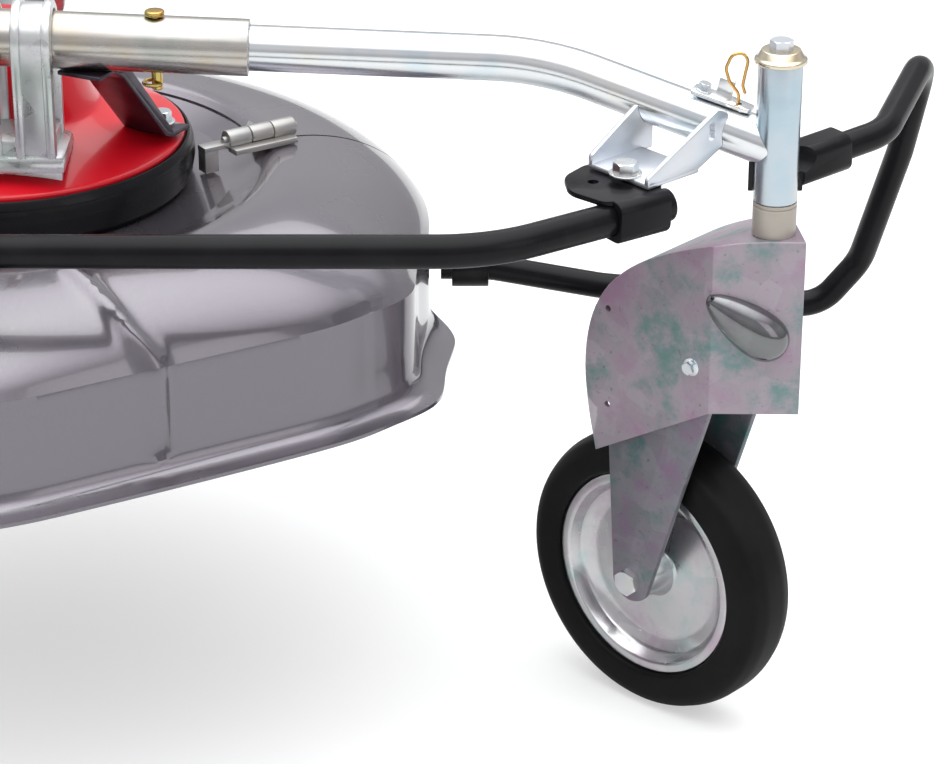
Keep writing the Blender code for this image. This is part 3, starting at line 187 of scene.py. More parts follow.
def soften(bm, width, segments=2, sharp=32):
    """Rounds every edge that is sharper than an angle."""
    edges = [
        e for e in bm.edges
        if len(e.link_faces) == 2 and e.calc_face_angle(0) > math.radians(sharp)
    ]
    bmesh.ops.bevel(
        bm, geom=edges, offset=width, segments=segments, profile=0.5,
        affect="EDGES", material=-1, clamp_overlap=True,
    )
    return bm


def turned(profile, at=None, axis=Z_AXIS, steps=96, corner=0):
    """A closed outline of (radius, height), turned round an axis."""
    bm = bmesh.new()
    face = bm.faces.new([bm.verts.new((r, 0, h)) for r, h in profile])
    if corner:
        outer = [v for v in face.verts if v.co.x > 1e-6]
        bmesh.ops.bevel(
            bm, geom=outer, offset=corner, segments=3, profile=0.5,
            affect="VERTICES", material=-1, clamp_overlap=True,
        )
    bmesh.ops.delete(bm, geom=bm.faces[:], context="FACES_ONLY")
    middle = [e for e in bm.edges if all(v.co.x < 1e-7 for v in e.verts)]
    bmesh.ops.delete(bm, geom=middle, context="EDGES")
    bmesh.ops.spin(
        bm, geom=bm.verts[:] + bm.edges[:], cent=(0, 0, 0), axis=(0, 0, 1),
        angle=math.tau, steps=steps, use_merge=True,
    )
    return place(recalculate(bm), axes_along(axis), at)


def rod(start, end, radius, bore=0, steps=48, corner=0.5 * MM):
    length = (end - start).length
    profile = [(bore, 0), (radius, 0), (radius, length), (bore, length)]
    return turned(profile, start, (end - start).normalized(), steps, corner)


def plate(outline, thickness, axes=None, at=None, corner=0, edge=0.4 * MM, segments=5):
    """Sheet metal: an outline in the first two axes, thick along the third."""
    bm = bmesh.new()
    face = bm.faces.new([bm.verts.new((u, v, 0)) for u, v in outline])
    if corner:
        bmesh.ops.bevel(
            bm, geom=face.verts[:], offset=corner, segments=segments, profile=0.5,
            affect="VERTICES", material=-1, clamp_overlap=True,
        )
    grown = bmesh.ops.extrude_face_region(bm, geom=bm.faces[:])["geom"]
    raised = [g for g in grown if isinstance(g, bmesh.types.BMVert)]
    bmesh.ops.translate(bm, verts=raised, vec=(0, 0, thickness))
    recalculate(bm)
    if edge:
        soften(bm, edge, 2, 50)
    return place(bm, axes, at)


def block(low, high, edge=1 * MM):
    outline = [(low[0], low[1]), (high[0], low[1]), (high[0], high[1]), (low[0], high[1])]
    return plate(outline, high[2] - low[2], at=Vector((0, 0, low[2])), edge=edge)


def arc_points(corner, before, after, radius, turn_step=math.radians(4)):
    """The arc that rounds one corner of a path."""
    angle = before.angle(after)
    if math.pi - angle < 0.02:
        return [corner]
    reach = min(radius / math.tan(angle / 2), 0.49 * min(before.length, after.length))
    radius = reach * math.tan(angle / 2)
    a, b = before.normalized(), after.normalized()
    centre = corner + (a + b).normalized() * (radius / math.sin(angle / 2))
    start, end = corner + a * reach - centre, corner + b * reach - centre
    sweep = math.pi - angle
    steps = max(3, math.ceil(sweep / turn_step))
    return [
        centre
        + start * (math.sin((1 - i / steps) * sweep) / math.sin(sweep))
        + end * (math.sin(i / steps * sweep) / math.sin(sweep))
        for i in range(steps + 1)
    ]


def rounded_path(points, radii, turn_step=math.radians(4)):
    path = [points[0]]
    for i in range(1, len(points) - 1):
        before, after = points[i - 1] - points[i], points[i + 1] - points[i]
        path += arc_points(points[i], before, after, radii[i - 1], turn_step)
    return path + [points[-1]]


def path_places(path):
    """A turned and moved frame at each point, without twist from one to the next."""
    places = []
    side = None
    for i, point in enumerate(path):
        ahead = path[min(i + 1, len(path) - 1)] - point
        behind = point - path[max(i - 1, 0)]
        along = (ahead.normalized() + behind.normalized()).normalized()
        side = side or along.orthogonal()
        side = (side - side.dot(along) * along).normalized()
        turn = axes_of(side, along.cross(side)).to_4x4()
        places.append(Matrix.Translation(point) @ turn)
    return places


def drawn(path, radius, wall=0, sides=32, edge=0.5 * MM):
    """A round bar or tube drawn along a path, ring by ring."""
    bm = bmesh.new()
    places = path_places(path)
    ring = bmesh.ops.create_circle(bm, segments=sides, radius=radius, matrix=places[0])["verts"]
    for before, after in zip(places, places[1:]):
        here = set(ring)
        edges = {e for v in ring for e in v.link_edges if here.issuperset(e.verts)}
        grown = bmesh.ops.extrude_edge_only(bm, edges=list(edges))["geom"]
        ring = [g for g in grown if isinstance(g, bmesh.types.BMVert)]
        bmesh.ops.transform(bm, matrix=after @ before.inverted(), verts=ring)
    recalculate(bm)
    if wall:
        bmesh.ops.solidify(bm, geom=bm.faces[:], thickness=wall)
    else:
        bmesh.ops.holes_fill(bm, edges=[e for e in bm.edges if e.is_boundary], sides=0)
    return soften(recalculate(bm), edge, 2, 60) if edge else bm


def loose(bm):
    """A form as an object for a Boolean."""
    mesh = bpy.data.meshes.new("loose")
    bm.to_mesh(mesh)
    bm.free()
    obj = bpy.data.objects.new("loose", mesh)
    bpy.context.scene.collection.objects.link(obj)
    return obj


def combine(bm, others, operation):
    """Cuts, joins or keeps what is common of closed forms."""
    whole = loose(bm)
    tools = [loose(other) for other in others]
    for tool in tools:
        modifier = whole.modifiers.new("form", "BOOLEAN")
        modifier.operation = operation
        modifier.solver = "MANIFOLD"
        modifier.object = tool
    bpy.context.view_layer.update()
    graph = bpy.context.evaluated_depsgraph_get()
    mesh = bpy.data.meshes.new_from_object(whole.evaluated_get(graph))
    made = bmesh.new()
    made.from_mesh(mesh)
    for obj in [whole] + tools:
        bpy.data.objects.remove(obj, do_unlink=True)
    bmesh.ops.remove_doubles(made, verts=made.verts, dist=1e-5)
    bmesh.ops.dissolve_degenerate(made, edges=made.edges, dist=1e-6)
    return made


def cut(bm, *others):
    return combine(bm, others, "DIFFERENCE")


def join(bm, *others):
    return combine(bm, others, "UNION")


def add(bm, *others):
    """Sets further closed forms beside the first, in the same piece."""
    for other in others:
        mesh = bpy.data.meshes.new("added")
        other.to_mesh(mesh)
        other.free()
        bm.from_mesh(mesh)
        bpy.data.meshes.remove(mesh)
    return bm


def hole(start, end, radius):
    return rod(start, end, radius, steps=40, corner=0)


def hex_head(at, direction, across, height, washer_r=0, washer_t=0):
    """A hexagon bolt head with its corners turned off, on a washer."""
    radius = across / math.sqrt(3)
    corners = [
        (radius * math.cos(math.radians(60 * i)), radius * math.sin(math.radians(60 * i)))
        for i in range(6)
    ]
    head = plate(corners, height, edge=0)
    chamfer = 0.16 * across / 2
    dome = turned(
        [(0, -1 * MM), (radius * 1.1, -1 * MM), (radius * 1.1, height - chamfer * 1.1),
         (radius - chamfer, height), (0, height)], steps=48,
    )
    head = combine(head, [dome], "INTERSECT")
    place(head, at=Vector((0, 0, washer_t)))
    if washer_r:
        add(head, turned([(0, 0), (washer_r, 0), (washer_r, washer_t), (0, washer_t + 0.02 * MM)],
                         steps=40, corner=0.3 * MM))
    return place(head, axes_along(direction), at)


def mirrored(bm):
    other = bm.copy()
    bmesh.ops.scale(other, vec=(-1, 1, 1), verts=other.verts)
    bmesh.ops.reverse_faces(other, faces=other.faces)
    return other


# Pieces


def piece(name, bm, look, node, instead=True, smooth=32):
    """A finished piece that rides with a node's body and may stand for the node."""
    mesh = bpy.data.meshes.new(name)
    bm.to_mesh(mesh)
    bm.free()
    mesh.materials.append(look)
    mesh.shade_smooth()
    mesh.set_sharp_from_angle(angle=math.radians(smooth))
    obj = bpy.data.objects.new(name, mesh)
    bpy.context.scene.collection.objects.link(obj)
    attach(obj, frame["nodes"][node]["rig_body"])
    if instead:
        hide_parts(node)
    return obj


def pair(name, bm, look, node, instead=True, smooth=32):
    other = mirrored(bm)
    piece(name + "_l", bm, look, node + "_left", instead, smooth)
    piece(name + "_r", other, look, node + "_right", instead, smooth)


# Materials


class Maker:
    """Adds nodes to a tree; an input may be given as a value or as another output."""

    def __init__(self, tree):
        self.tree = tree
        self.out = None

    def node(self, kind, inputs=None, **settings):
        made = self.tree.nodes.new(kind)
        for name, value in settings.items():
            setattr(made, name, value)
        for name, value in (inputs or {}).items():
            if isinstance(value, bpy.types.NodeSocket):
                self.tree.links.new(value, made.inputs[name])
            else:
                made.inputs[name].default_value = value
        return made

    def math(self, operation, one, two=0.0, clamp=False):
        made = self.node("ShaderNodeMath", {0: one, 1: two}, operation=operation, use_clamp=clamp)
        return made.outputs[0]

    def noise(self, place, scale, detail=3.0, rough=0.5):
        inputs = {"Vector": place, "Scale": scale, "Detail": detail, "Roughness": rough}
        return self.node("ShaderNodeTexNoise", inputs).outputs["Fac"]

    def stretched(self, place, scale):
        return self.node("ShaderNodeMapping", {"Vector": place, "Scale": scale}).outputs[0]

    def step(self, value, low, high):
        inputs = {"Value": value, "From Min": low, "From Max": high}
        return self.node("ShaderNodeMapRange", inputs, interpolation_type="SMOOTHSTEP").outputs[0]

    def mixed(self, share, one, two, blend="MIX"):
        made = self.node("ShaderNodeMix", {0: share, 6: one, 7: two}, data_type="RGBA", blend_type=blend)
        return made.outputs[2]


def effect(name, takes, gives, fill):
    """A shared group: named inputs with starting values, named outputs."""
    tree = bpy.data.node_groups.new(name, "ShaderNodeTree")
    kinds = {"float": "NodeSocketFloat", "color": "NodeSocketColor", "vector": "NodeSocketVector"}
    for label, kind, start in takes:
        socket = tree.interface.new_socket(label, in_out="INPUT", socket_type=kinds[kind])
        if start is not None:
            socket.default_value = start
    for label, kind in gives:
        tree.interface.new_socket(label, in_out="OUTPUT", socket_type=kinds[kind])
    maker = Maker(tree)
    source = tree.nodes.new("NodeGroupInput")
    sink = tree.nodes.new("NodeGroupOutput")
    for label, socket in fill(maker, source.outputs).items():
        tree.links.new(socket, sink.inputs[label])
    return tree


def metal_flake_fill(make, given):
    """Paint with fine metal flake, settled dust on level faces and orange peel."""
    place = make.node("ShaderNodeTexCoord").outputs["Object"]
    flake = make.noise(place, 2600.0, 1.0)
    cloud = make.noise(place, 9.0, 4.0)
    speck = make.step(make.noise(place, 160.0, 2.0), 0.68, 0.76)
    level = make.node("ShaderNodeSeparateXYZ", {0: make.node("ShaderNodeNewGeometry").outputs["Normal"]})
    dust = make.math("MULTIPLY", make.step(level.outputs["Z"], 0.5, 1.0), make.step(cloud, 0.4, 0.7))
    dust = make.math("MULTIPLY", dust, given["Dust"])
    glint = make.step(flake, 0.35, 0.75)
    color = make.mixed(make.math("MULTIPLY", glint, given["Flake"]), given["Color"], (0.55, 0.53, 0.58, 1))
    color = make.mixed(make.math("MULTIPLY", speck, dust), color, (0.5, 0.48, 0.44, 1))
    color = make.mixed(make.math("MULTIPLY", dust, 0.25), color, (0.42, 0.41, 0.40, 1))
    rough = make.math("ADD", given["Roughness"], make.math("MULTIPLY", cloud, 0.06))
    rough = make.math("ADD", rough, make.math("MULTIPLY", dust, 0.2))
    peel = make.noise(place, 420.0, 1.0)
    return {"Color": color, "Roughness": rough, "Height": peel}


def edge_wear_fill(make, given):
    """Bare metal where the paint has rubbed thin on the edges."""
    geometry = make.node("ShaderNodeNewGeometry")
    place = make.node("ShaderNodeTexCoord").outputs["Object"]
    broken = make.noise(place, 70.0, 4.0)
    edge = make.step(geometry.outputs["Pointiness"], 0.54, 0.62)
    worn = make.math("MULTIPLY", make.step(make.math("ADD", edge, broken), 1.05, 1.3), given["Amount"])
    color = make.mixed(worn, given["Color"], given["Bare"])
    return {"Color": color, "Worn": worn}


def drawn_metal_fill(make, given):
    """Plated steel: fine lengthwise streaks, cloudy tint and small handling marks."""
    place = make.node("ShaderNodeTexCoord").outputs["Object"]
    fine = make.noise(make.stretched(place, (14.0, 420.0, 420.0)), 1.0, 3.0)
    broad = make.noise(make.stretched(place, (5.0, 60.0, 60.0)), 1.0, 2.0)
    tint = make.noise(place, 26.0, 3.0)
    warm = make.step(tint, 0.5, 0.68)
    cool = make.step(tint, 0.5, 0.34)
    color = make.mixed(make.math("MULTIPLY", warm, given["Tint"]), given["Color"], given["Warm"])
    color = make.mixed(make.math("MULTIPLY", cool, given["Tint"]), color, given["Cool"])
    dark = make.math("MULTIPLY", make.step(broad, 0.56, 0.7), given["Streak"])
    color = make.mixed(dark, color, (0.16, 0.15, 0.17, 1))
    rough = make.math("ADD", given["Roughness"], make.math("MULTIPLY", make.math("SUBTRACT", fine, 0.5), 0.1))
    rough = make.math("ADD", rough, make.math("MULTIPLY", dark, 0.2))
    return {"Color": color, "Roughness": rough, "Height": fine}


def spangle_fill(make, given):
    """Hot-dipped zinc: grain patches of differing tone with mottled tarnish."""
    place = make.node("ShaderNodeTexCoord").outputs["Object"]
    grain = make.node("ShaderNodeTexVoronoi", {"Vector": place, "Scale": given["Grain"]})
    tone = make.node("ShaderNodeSeparateXYZ", {0: grain.outputs["Color"]}).outputs["X"]
    cloud = make.noise(place, 22.0, 5.0, 0.65)
    fine = make.noise(place, 210.0, 4.0, 0.7)
    color = make.mixed(make.math("MULTIPLY", tone, 0.35), given["Color"], given["Pale"])
    color = make.mixed(make.math("MULTIPLY", make.step(cloud, 0.48, 0.7), given["Tarnish"]), color, given["Green"])
    color = make.mixed(make.math("MULTIPLY", make.step(cloud, 0.5, 0.3), given["Tarnish"]), color, given["Rose"])
    pit = make.math("MULTIPLY", make.step(fine, 0.6, 0.72), given["Pits"])
    color = make.mixed(pit, color, (0.07, 0.09, 0.09, 1))
    rough = make.math("ADD", given["Roughness"], make.math("MULTIPLY", tone, 0.12))
    rough = make.math("ADD", rough, make.math("MULTIPLY", pit, 0.2))
    return {"Color": color, "Roughness": rough, "Height": fine}


def grain_fill(make, given):
    """Rubber or cast skin: fine pebbles, grey bloom and scuffs."""
    place = make.node("ShaderNodeTexCoord").outputs["Object"]
    pebble = make.noise(place, given["Grain"], 3.0)
    cloud = make.noise(place, 14.0, 5.0, 0.6)
    scuff = make.step(make.noise(make.stretched(place, (60.0, 18.0, 40.0)), 1.0, 4.0), 0.6, 0.72)
    bloom = make.math("MULTIPLY", make.step(cloud, 0.4, 0.75), given["Bloom"])
    color = make.mixed(bloom, given["Color"], given["Pale"])
    color = make.mixed(make.math("MULTIPLY", scuff, make.math("MULTIPLY", given["Bloom"], 0.6)), color, given["Pale"])
    rough = make.math("ADD", given["Roughness"], make.math("MULTIPLY", cloud, 0.15))
    return {"Color": color, "Roughness": rough, "Height": pebble}


COLORED = [("Color", "color"), ("Roughness", "float"), ("Height", "float")]
METAL_FLAKE = effect(
    "metal_flake",
    [("Color", "color", None), ("Roughness", "float", 0.3), ("Flake", "float", 0.2), ("Dust", "float", 0.3)],
    COLORED, metal_flake_fill,
)
EDGE_WEAR = effect(
    "edge_wear", [("Color", "color", None), ("Bare", "color", None), ("Amount", "float", 0.5)],
    [("Color", "color"), ("Worn", "float")], edge_wear_fill,
)
DRAWN_METAL = effect(
    "drawn_metal",
    [("Color", "color", None), ("Warm", "color", None), ("Cool", "color", None), ("Roughness", "float", 0.25),
     ("Tint", "float", 0.3), ("Streak", "float", 0.2)],
    COLORED, drawn_metal_fill,
)
SPANGLE = effect(
    "spangle",
    [("Color", "color", None), ("Pale", "color", None), ("Green", "color", None), ("Rose", "color", None),
     ("Roughness", "float", 0.35), ("Grain", "float", 60.0), ("Tarnish", "float", 0.4), ("Pits", "float", 0.3)],
    COLORED, spangle_fill,
)
GRAIN = effect(
    "grain",
    [("Color", "color", None), ("Pale", "color", None), ("Roughness", "float", 0.5), ("Grain", "float", 300.0),
     ("Bloom", "float", 0.2)],
    COLORED, grain_fill,
)


def surface(name, group, values, metallic=0.0, coat=0.0, height=0.02, wear=0.0, bare=(0.4, 0.4, 0.42), specular=0.5):
    """A material whose colour, roughness and relief come from one shared group."""
    look = bpy.data.materials.new(name)
    look.use_nodes = True
    make = Maker(look.node_tree)
    shader = look.node_tree.nodes["Principled BSDF"]
    shader.inputs["Metallic"].default_value = metallic
    shader.inputs["Coat Weight"].default_value = coat
    shader.inputs["Coat Roughness"].default_value = 0.06
    shader.inputs["Specular IOR Level"].default_value = specular
    given = {k: (*v, 1) if isinstance(v, tuple) else v for k, v in values.items()}
    base = make.node("ShaderNodeGroup", node_tree=group)
    for label, value in given.items():
        base.inputs[label].default_value = value
    color = base.outputs["Color"]
    if wear:
        worn = make.node("ShaderNodeGroup", node_tree=EDGE_WEAR)
        worn.inputs["Bare"].default_value = (*bare, 1)
        worn.inputs["Amount"].default_value = wear
        look.node_tree.links.new(color, worn.inputs["Color"])
        color = worn.outputs["Color"]
    relief = make.node("ShaderNodeBump", {"Height": base.outputs["Height"], "Strength": 0.25, "Distance": height * MM})
    look.node_tree.links.new(color, shader.inputs["Base Color"])
    look.node_tree.links.new(base.outputs["Roughness"], shader.inputs["Roughness"])
    look.node_tree.links.new(relief.outputs[0], shader.inputs["Normal"])
    return look


DECK_PAINT = surface(
    "deck_paint", METAL_FLAKE, {"Color": (0.165, 0.147, 0.172), "Roughness": 0.22, "Flake": 0.16, "Dust": 0.2},
    metallic=0.7, coat=1.0, height=0.02,
)
RED_PAINT = surface(
    "red_paint", METAL_FLAKE, {"Color": (0.60, 0.004, 0.014), "Roughness": 0.3, "Flake": 0.0, "Dust": 0.05},
    coat=0.35, height=0.03, specular=0.35,
)
BLACK_PAINT = surface(
    "black_paint", GRAIN,
    {"Color": (0.0045, 0.004, 0.0055), "Pale": (0.02, 0.02, 0.022), "Roughness": 0.22, "Grain": 500.0, "Bloom": 0.3},
    coat=0.05, height=0.02, wear=0.35, bare=(0.05, 0.05, 0.055), specular=0.15,
)
RING_RUBBER = surface(
    "ring_rubber", GRAIN,
    {"Color": (0.004, 0.004, 0.005), "Pale": (0.015, 0.015, 0.017), "Roughness": 0.2, "Grain": 260.0, "Bloom": 0.3},
    coat=0.07, height=0.03, specular=0.16,
)
TYRE_RUBBER = surface(
    "tyre_rubber", GRAIN,
    {"Color": (0.0035, 0.0035, 0.004), "Pale": (0.014, 0.014, 0.014), "Roughness": 0.42, "Grain": 420.0, "Bloom": 0.35},
    height=0.05, specular=0.14,
)
ZINC = surface(
    "zinc_plate", DRAWN_METAL,
    {"Color": (0.86, 0.88, 0.90), "Warm": (0.90, 0.86, 0.76), "Cool": (0.62, 0.80, 0.86), "Roughness": 0.2,
     "Tint": 0.4, "Streak": 0.08},
    metallic=1.0, height=0.004,
)
BRIGHT_ZINC = surface(
    "bright_zinc", DRAWN_METAL,
    {"Color": (0.74, 0.77, 0.82), "Warm": (0.80, 0.78, 0.76), "Cool": (0.62, 0.70, 0.80), "Roughness": 0.30,
     "Tint": 0.25, "Streak": 0.02},
    metallic=0.85, height=0.001,
)
POST_ZINC = surface(
    "post_zinc", DRAWN_METAL,
    {"Color": (0.56, 0.64, 0.70), "Warm": (0.72, 0.70, 0.62), "Cool": (0.44, 0.60, 0.68), "Roughness": 0.24,
     "Tint": 0.5, "Streak": 0.06},
    metallic=0.95, height=0.003,
)
HINGE_ZINC = surface(
    "hinge_zinc", DRAWN_METAL,
    {"Color": (0.40, 0.39, 0.38), "Warm": (0.46, 0.42, 0.36), "Cool": (0.34, 0.38, 0.38), "Roughness": 0.36,
     "Tint": 0.3, "Streak": 0.03},
    metallic=0.8, height=0.002,
)
SLEEVE_ZINC = surface(
    "sleeve_zinc", DRAWN_METAL,
    {"Color": (0.60, 0.57, 0.53), "Warm": (0.62, 0.52, 0.36), "Cool": (0.42, 0.48, 0.44), "Roughness": 0.26,
     "Tint": 0.5, "Streak": 0.3},
    metallic=1.0, height=0.004,
)
DARK_ZINC = surface(
    "dark_zinc", DRAWN_METAL,
    {"Color": (0.045, 0.034, 0.05), "Warm": (0.09, 0.05, 0.07), "Cool": (0.03, 0.03, 0.06), "Roughness": 0.3,
     "Tint": 0.5, "Streak": 0.2},
    metallic=0.7, coat=0.2, height=0.01, wear=0.8, bare=(0.7, 0.72, 0.76),
)
STEEL = surface(
    "bare_steel", DRAWN_METAL,
    {"Color": (0.52, 0.52, 0.53), "Warm": (0.5, 0.42, 0.34), "Cool": (0.42, 0.46, 0.5), "Roughness": 0.32,
     "Tint": 0.3, "Streak": 0.25},
    metallic=1.0, height=0.02,
)
GOLD = surface(
    "gold_zinc", DRAWN_METAL,
    {"Color": (0.66, 0.40, 0.12), "Warm": (0.8, 0.42, 0.16), "Cool": (0.5, 0.5, 0.16), "Roughness": 0.2,
     "Tint": 0.6, "Streak": 0.05},
    metallic=1.0, height=0.004,
)
GOLD_WASH = surface(
    "gold_wash", DRAWN_METAL,
    {"Color": (0.80, 0.72, 0.56), "Warm": (0.78, 0.55, 0.26), "Cool": (0.62, 0.68, 0.62), "Roughness": 0.2,
     "Tint": 0.7, "Streak": 0.1},
    metallic=1.0, height=0.004,
)
BUSH = surface(
    "bush_cream", GRAIN,
    {"Color": (0.44, 0.40, 0.35), "Pale": (0.62, 0.58, 0.52), "Roughness": 0.35, "Grain": 300.0, "Bloom": 0.5},
    metallic=0.3, height=0.02,
)
CAST = surface(
    "cast_metal", GRAIN,
    {"Color": (0.26, 0.26, 0.27), "Pale": (0.40, 0.40, 0.41), "Roughness": 0.42, "Grain": 240.0, "Bloom": 0.5},
    metallic=0.7, height=0.15,
)
SADDLE_CAST = surface(
    "saddle_zinc", SPANGLE,
    {"Color": (0.66, 0.67, 0.67), "Pale": (0.85, 0.86, 0.86), "Green": (0.50, 0.62, 0.56), "Rose": (0.48, 0.42, 0.52),
     "Roughness": 0.24, "Grain": 40.0, "Tarnish": 0.5, "Pits": 0.15},
    metallic=0.85, height=0.05,
)
FORK_ZINC = surface(
    "fork_zinc", SPANGLE,
    {"Color": (0.35, 0.30, 0.345), "Pale": (0.54, 0.47, 0.53), "Green": (0.13, 0.27, 0.25), "Rose": (0.38, 0.24, 0.34),
     "Roughness": 0.38, "Grain": 55.0, "Tarnish": 0.9, "Pits": 0.5},
    metallic=0.45, height=0.05, wear=0.5, bare=(0.8, 0.76, 0.78),
)
LEG_ZINC = surface(
    "leg_zinc", SPANGLE,
    {"Color": (0.20, 0.19, 0.22), "Pale": (0.34, 0.33, 0.36), "Green": (0.06, 0.17, 0.16), "Rose": (0.24, 0.14, 0.24),
     "Roughness": 0.36, "Grain": 60.0, "Tarnish": 0.9, "Pits": 0.6},
    metallic=0.5, height=0.05, wear=0.6, bare=(0.75, 0.66, 0.72),
)
# Painted shade: the swelling is pressed from the hood's own zinc sheet, but its colour is painted far darker than the
# hood's, standing in for the shade on its dark lower half.
SWELLING_PAINTED_SHADE = surface(
    "swelling_painted_shade", SPANGLE,
    {"Color": (0.16, 0.165, 0.17), "Pale": (0.30, 0.31, 0.31), "Green": (0.04, 0.16, 0.12), "Rose": (0.14, 0.08, 0.14),
     "Roughness": 0.10, "Grain": 30.0, "Tarnish": 0.6, "Pits": 0.1},
    metallic=0.95, coat=1.0, height=0.02,
)
RIM_ZINC = surface(
    "rim_zinc", SPANGLE,
    {"Color": (0.62, 0.60, 0.62), "Pale": (0.85, 0.83, 0.84), "Green": (0.36, 0.58, 0.54), "Rose": (0.55, 0.38, 0.52),
     "Roughness": 0.16, "Grain": 30.0, "Tarnish": 0.55, "Pits": 0.1},
    metallic=0.9, coat=0.3, height=0.03,
)

# The nodes that stay as the solids made them
KEPT = {"spindle": STEEL, "spindle_bearing": STEEL}


def dress_frame():
    for name, node in frame["nodes"].items():
        node.data.materials.clear()
        node.data.materials.append(KEPT.get(name, STEEL))


# Deck

# Share of the way from the ridge to the skirt, and height in millimetres
SHOULDER = (
    (0.008, -27), (0.136, -25), (0.344, -28.5), (0.584, -38), (0.784, -52),
    (0.928, -67), (1, -80), (1, -150),
)
BEAD_LINE = (
    (62, -196, 0), (75, -212, 1), (100, -240, 1), (122, -258, 1), (136, -264, 1),
    (141, -265, 1), (156, -291, 1),
)


def from_nose(angle):
    turn = (angle + math.pi / 2) % math.tau
    return min(turn, math.tau - turn)


def skirt_radius(angle):
    turn = from_nose(angle)
    corner = CORNER_OUT * math.exp(-(((turn - CORNER_TURN) / CORNER_WIDE) ** 2))
    if turn > 2 * FACET_TURN:
        return SKIRT_R + corner
    flat = FACET / math.cos(turn - FACET_TURN)
    if turn < FACET_TURN:
        return flat - NOSE_ROUND * math.exp(-((turn / math.radians(6)) ** 2))
    meet = math.log(1 + math.exp((SKIRT_R - flat) / CORNER_BLEND))
    return SKIRT_R - CORNER_BLEND * meet + corner


def lip_reach(angle):
    share = (LIP_END - from_nose(angle)) / math.radians(14)
    share = min(max(share, 0), 1)
    return LIP_OUT * share * share * (3 - 2 * share)


def rounded_line(points, rounds):
    """Cuts the corners of an open line, again and again, until it is smooth."""
    for _ in range(rounds):
        line = [points[0]]
        for one, two in zip(points, points[1:]):
            line += [one.lerp(two, 0.25), one.lerp(two, 0.75)]
        points = line + [points[-1]]
    return points


def deck_section():
    """Radius, height and share of the lip, from the hub hole out to the rolled lip."""
    wide = SKIRT_R - RIDGE_R
    top = [(DECK_HOLE_R, FLOOR_H), (RIDGE_R - 27 * MM, FLOOR_H), (RIDGE_R - 13 * MM, FLOOR_H + 5.5 * MM)]
    top += [(RIDGE_R + s * wide, h * MM) for s, h in SHOULDER[:-1]]
    floor = [Vector((*top[0], 0)), Vector((DECK_HOLE_R + 50 * MM, FLOOR_H, 0))]
    line = floor + rounded_line([Vector((r, h, 0)) for r, h in top[1:]], 3)
    end = DECK_END_H
    skirt = [(0, -90 * MM, 0), (0, -110 * MM, 0), (0, -130 * MM, 0), (0, -146 * MM, 0)]
    flare = [
        (0, end + 13 * MM, 0.04), (0, end + 8.6 * MM, 0.14), (0, end + 5.4 * MM, 0.3),
        (0, end + 3.8 * MM, 0.5), (0, end + 3.2 * MM, 0.72), (0, end + 3 * MM, 0.94),
    ]
    return line + [Vector((SKIRT_R, h, share)) for _, h, share in skirt + flare]


def bead_lift(point):
    """How far the pressed bead raises the deck at a plan point."""
    best = 0
    here = Vector((abs(point.x), point.y))
    for one, two in zip(BEAD_LINE, BEAD_LINE[1:]):
        a, b = Vector(one[:2]) * MM, Vector(two[:2]) * MM
        along = b - a
        share = min(max((here - a).dot(along) / along.length_squared, 0), 1)
        off = (here - a - along * share).length
        height = one[2] + (two[2] - one[2]) * share
        best = max(best, height * math.exp(-((off / BEAD_WIDE) ** 2)))
    return best * BEAD_LIFT


def offset_line(points, by):
    moved = []
    for i, (r, h) in enumerate(points):
        before, after = Vector(points[max(i - 1, 0)]), Vector(points[min(i + 1, len(points) - 1)])
        along = (after - before).normalized()
        moved.append((r - along.y * by, h + along.x * by))
    return moved


def deck_loop():
    """The closed section of the pressed sheet, top face first."""
    line = deck_section()
    under = offset_line([(p.x + p.z * LIP_OUT, p.y) for p in line], -DECK_WALL)
    back = [Vector((r - p.z * LIP_OUT, h, p.z)) for (r, h), p in zip(under, line)]
    return line + back[::-1]


def shape_deck(bm):
    """Pulls the turned section out to the facets and the lip, and raises the beads."""
    bmesh.ops.recalc_face_normals(bm, faces=bm.faces)
    normals = {v: v.normal.copy() for v in bm.verts}
    share_of = bm.verts.layers.float["lip"]
    for v in bm.verts:
        r = math.hypot(v.co.x, v.co.y)
        angle = math.atan2(v.co.y, v.co.x)
        share = min(max(0, (r - RIDGE_R) / (SKIRT_R - RIDGE_R)), 1)
        out = r + (skirt_radius(angle) - SKIRT_R) * share ** 1.2
        out += v[share_of] * lip_reach(angle)
        v.co.x, v.co.y = out * math.cos(angle), out * math.sin(angle)
        fade = min(1, (v.co.z - up(-150 * MM)) / (12 * MM))
        if v.co.y < -190 * MM and fade > 0:
            way = normals[v]
            if way.dot(Vector((math.cos(angle), math.sin(angle), 1))) < 0:
                way = -way
            v.co += way * bead_lift(v.co) * fade


def turned_deck(line, steps):
    """A closed section of (radius, height, share of the lip), turned and then shaped."""
    bm = bmesh.new()
    lip = bm.verts.layers.float.new("lip")
    face = bm.faces.new([bm.verts.new((p.x, 0, up(p.y))) for p in line])
    for v, p in zip(face.verts, line):
        v[lip] = p.z
    bmesh.ops.delete(bm, geom=[face], context="FACES_ONLY")
    bmesh.ops.spin(
        bm, geom=bm.verts[:] + bm.edges[:], cent=(0, 0, 0), axis=(0, 0, 1),
        angle=math.tau, steps=steps, use_merge=True,
    )
    bmesh.ops.remove_doubles(bm, verts=bm.verts, dist=1e-6)
    shape_deck(bm)
    return recalculate(bm)


def hinge_reach(radius, n):
    """How far along the hinge, at n out from it, a circle round the spindle is met."""
    start = Vector((HINGE_AT.x, HINGE_AT.y, 0)) + HINGE_OUT * n
    along = start.dot(HINGE_DIR)
    return math.sqrt(along**2 - start.length_squared + radius**2) - along


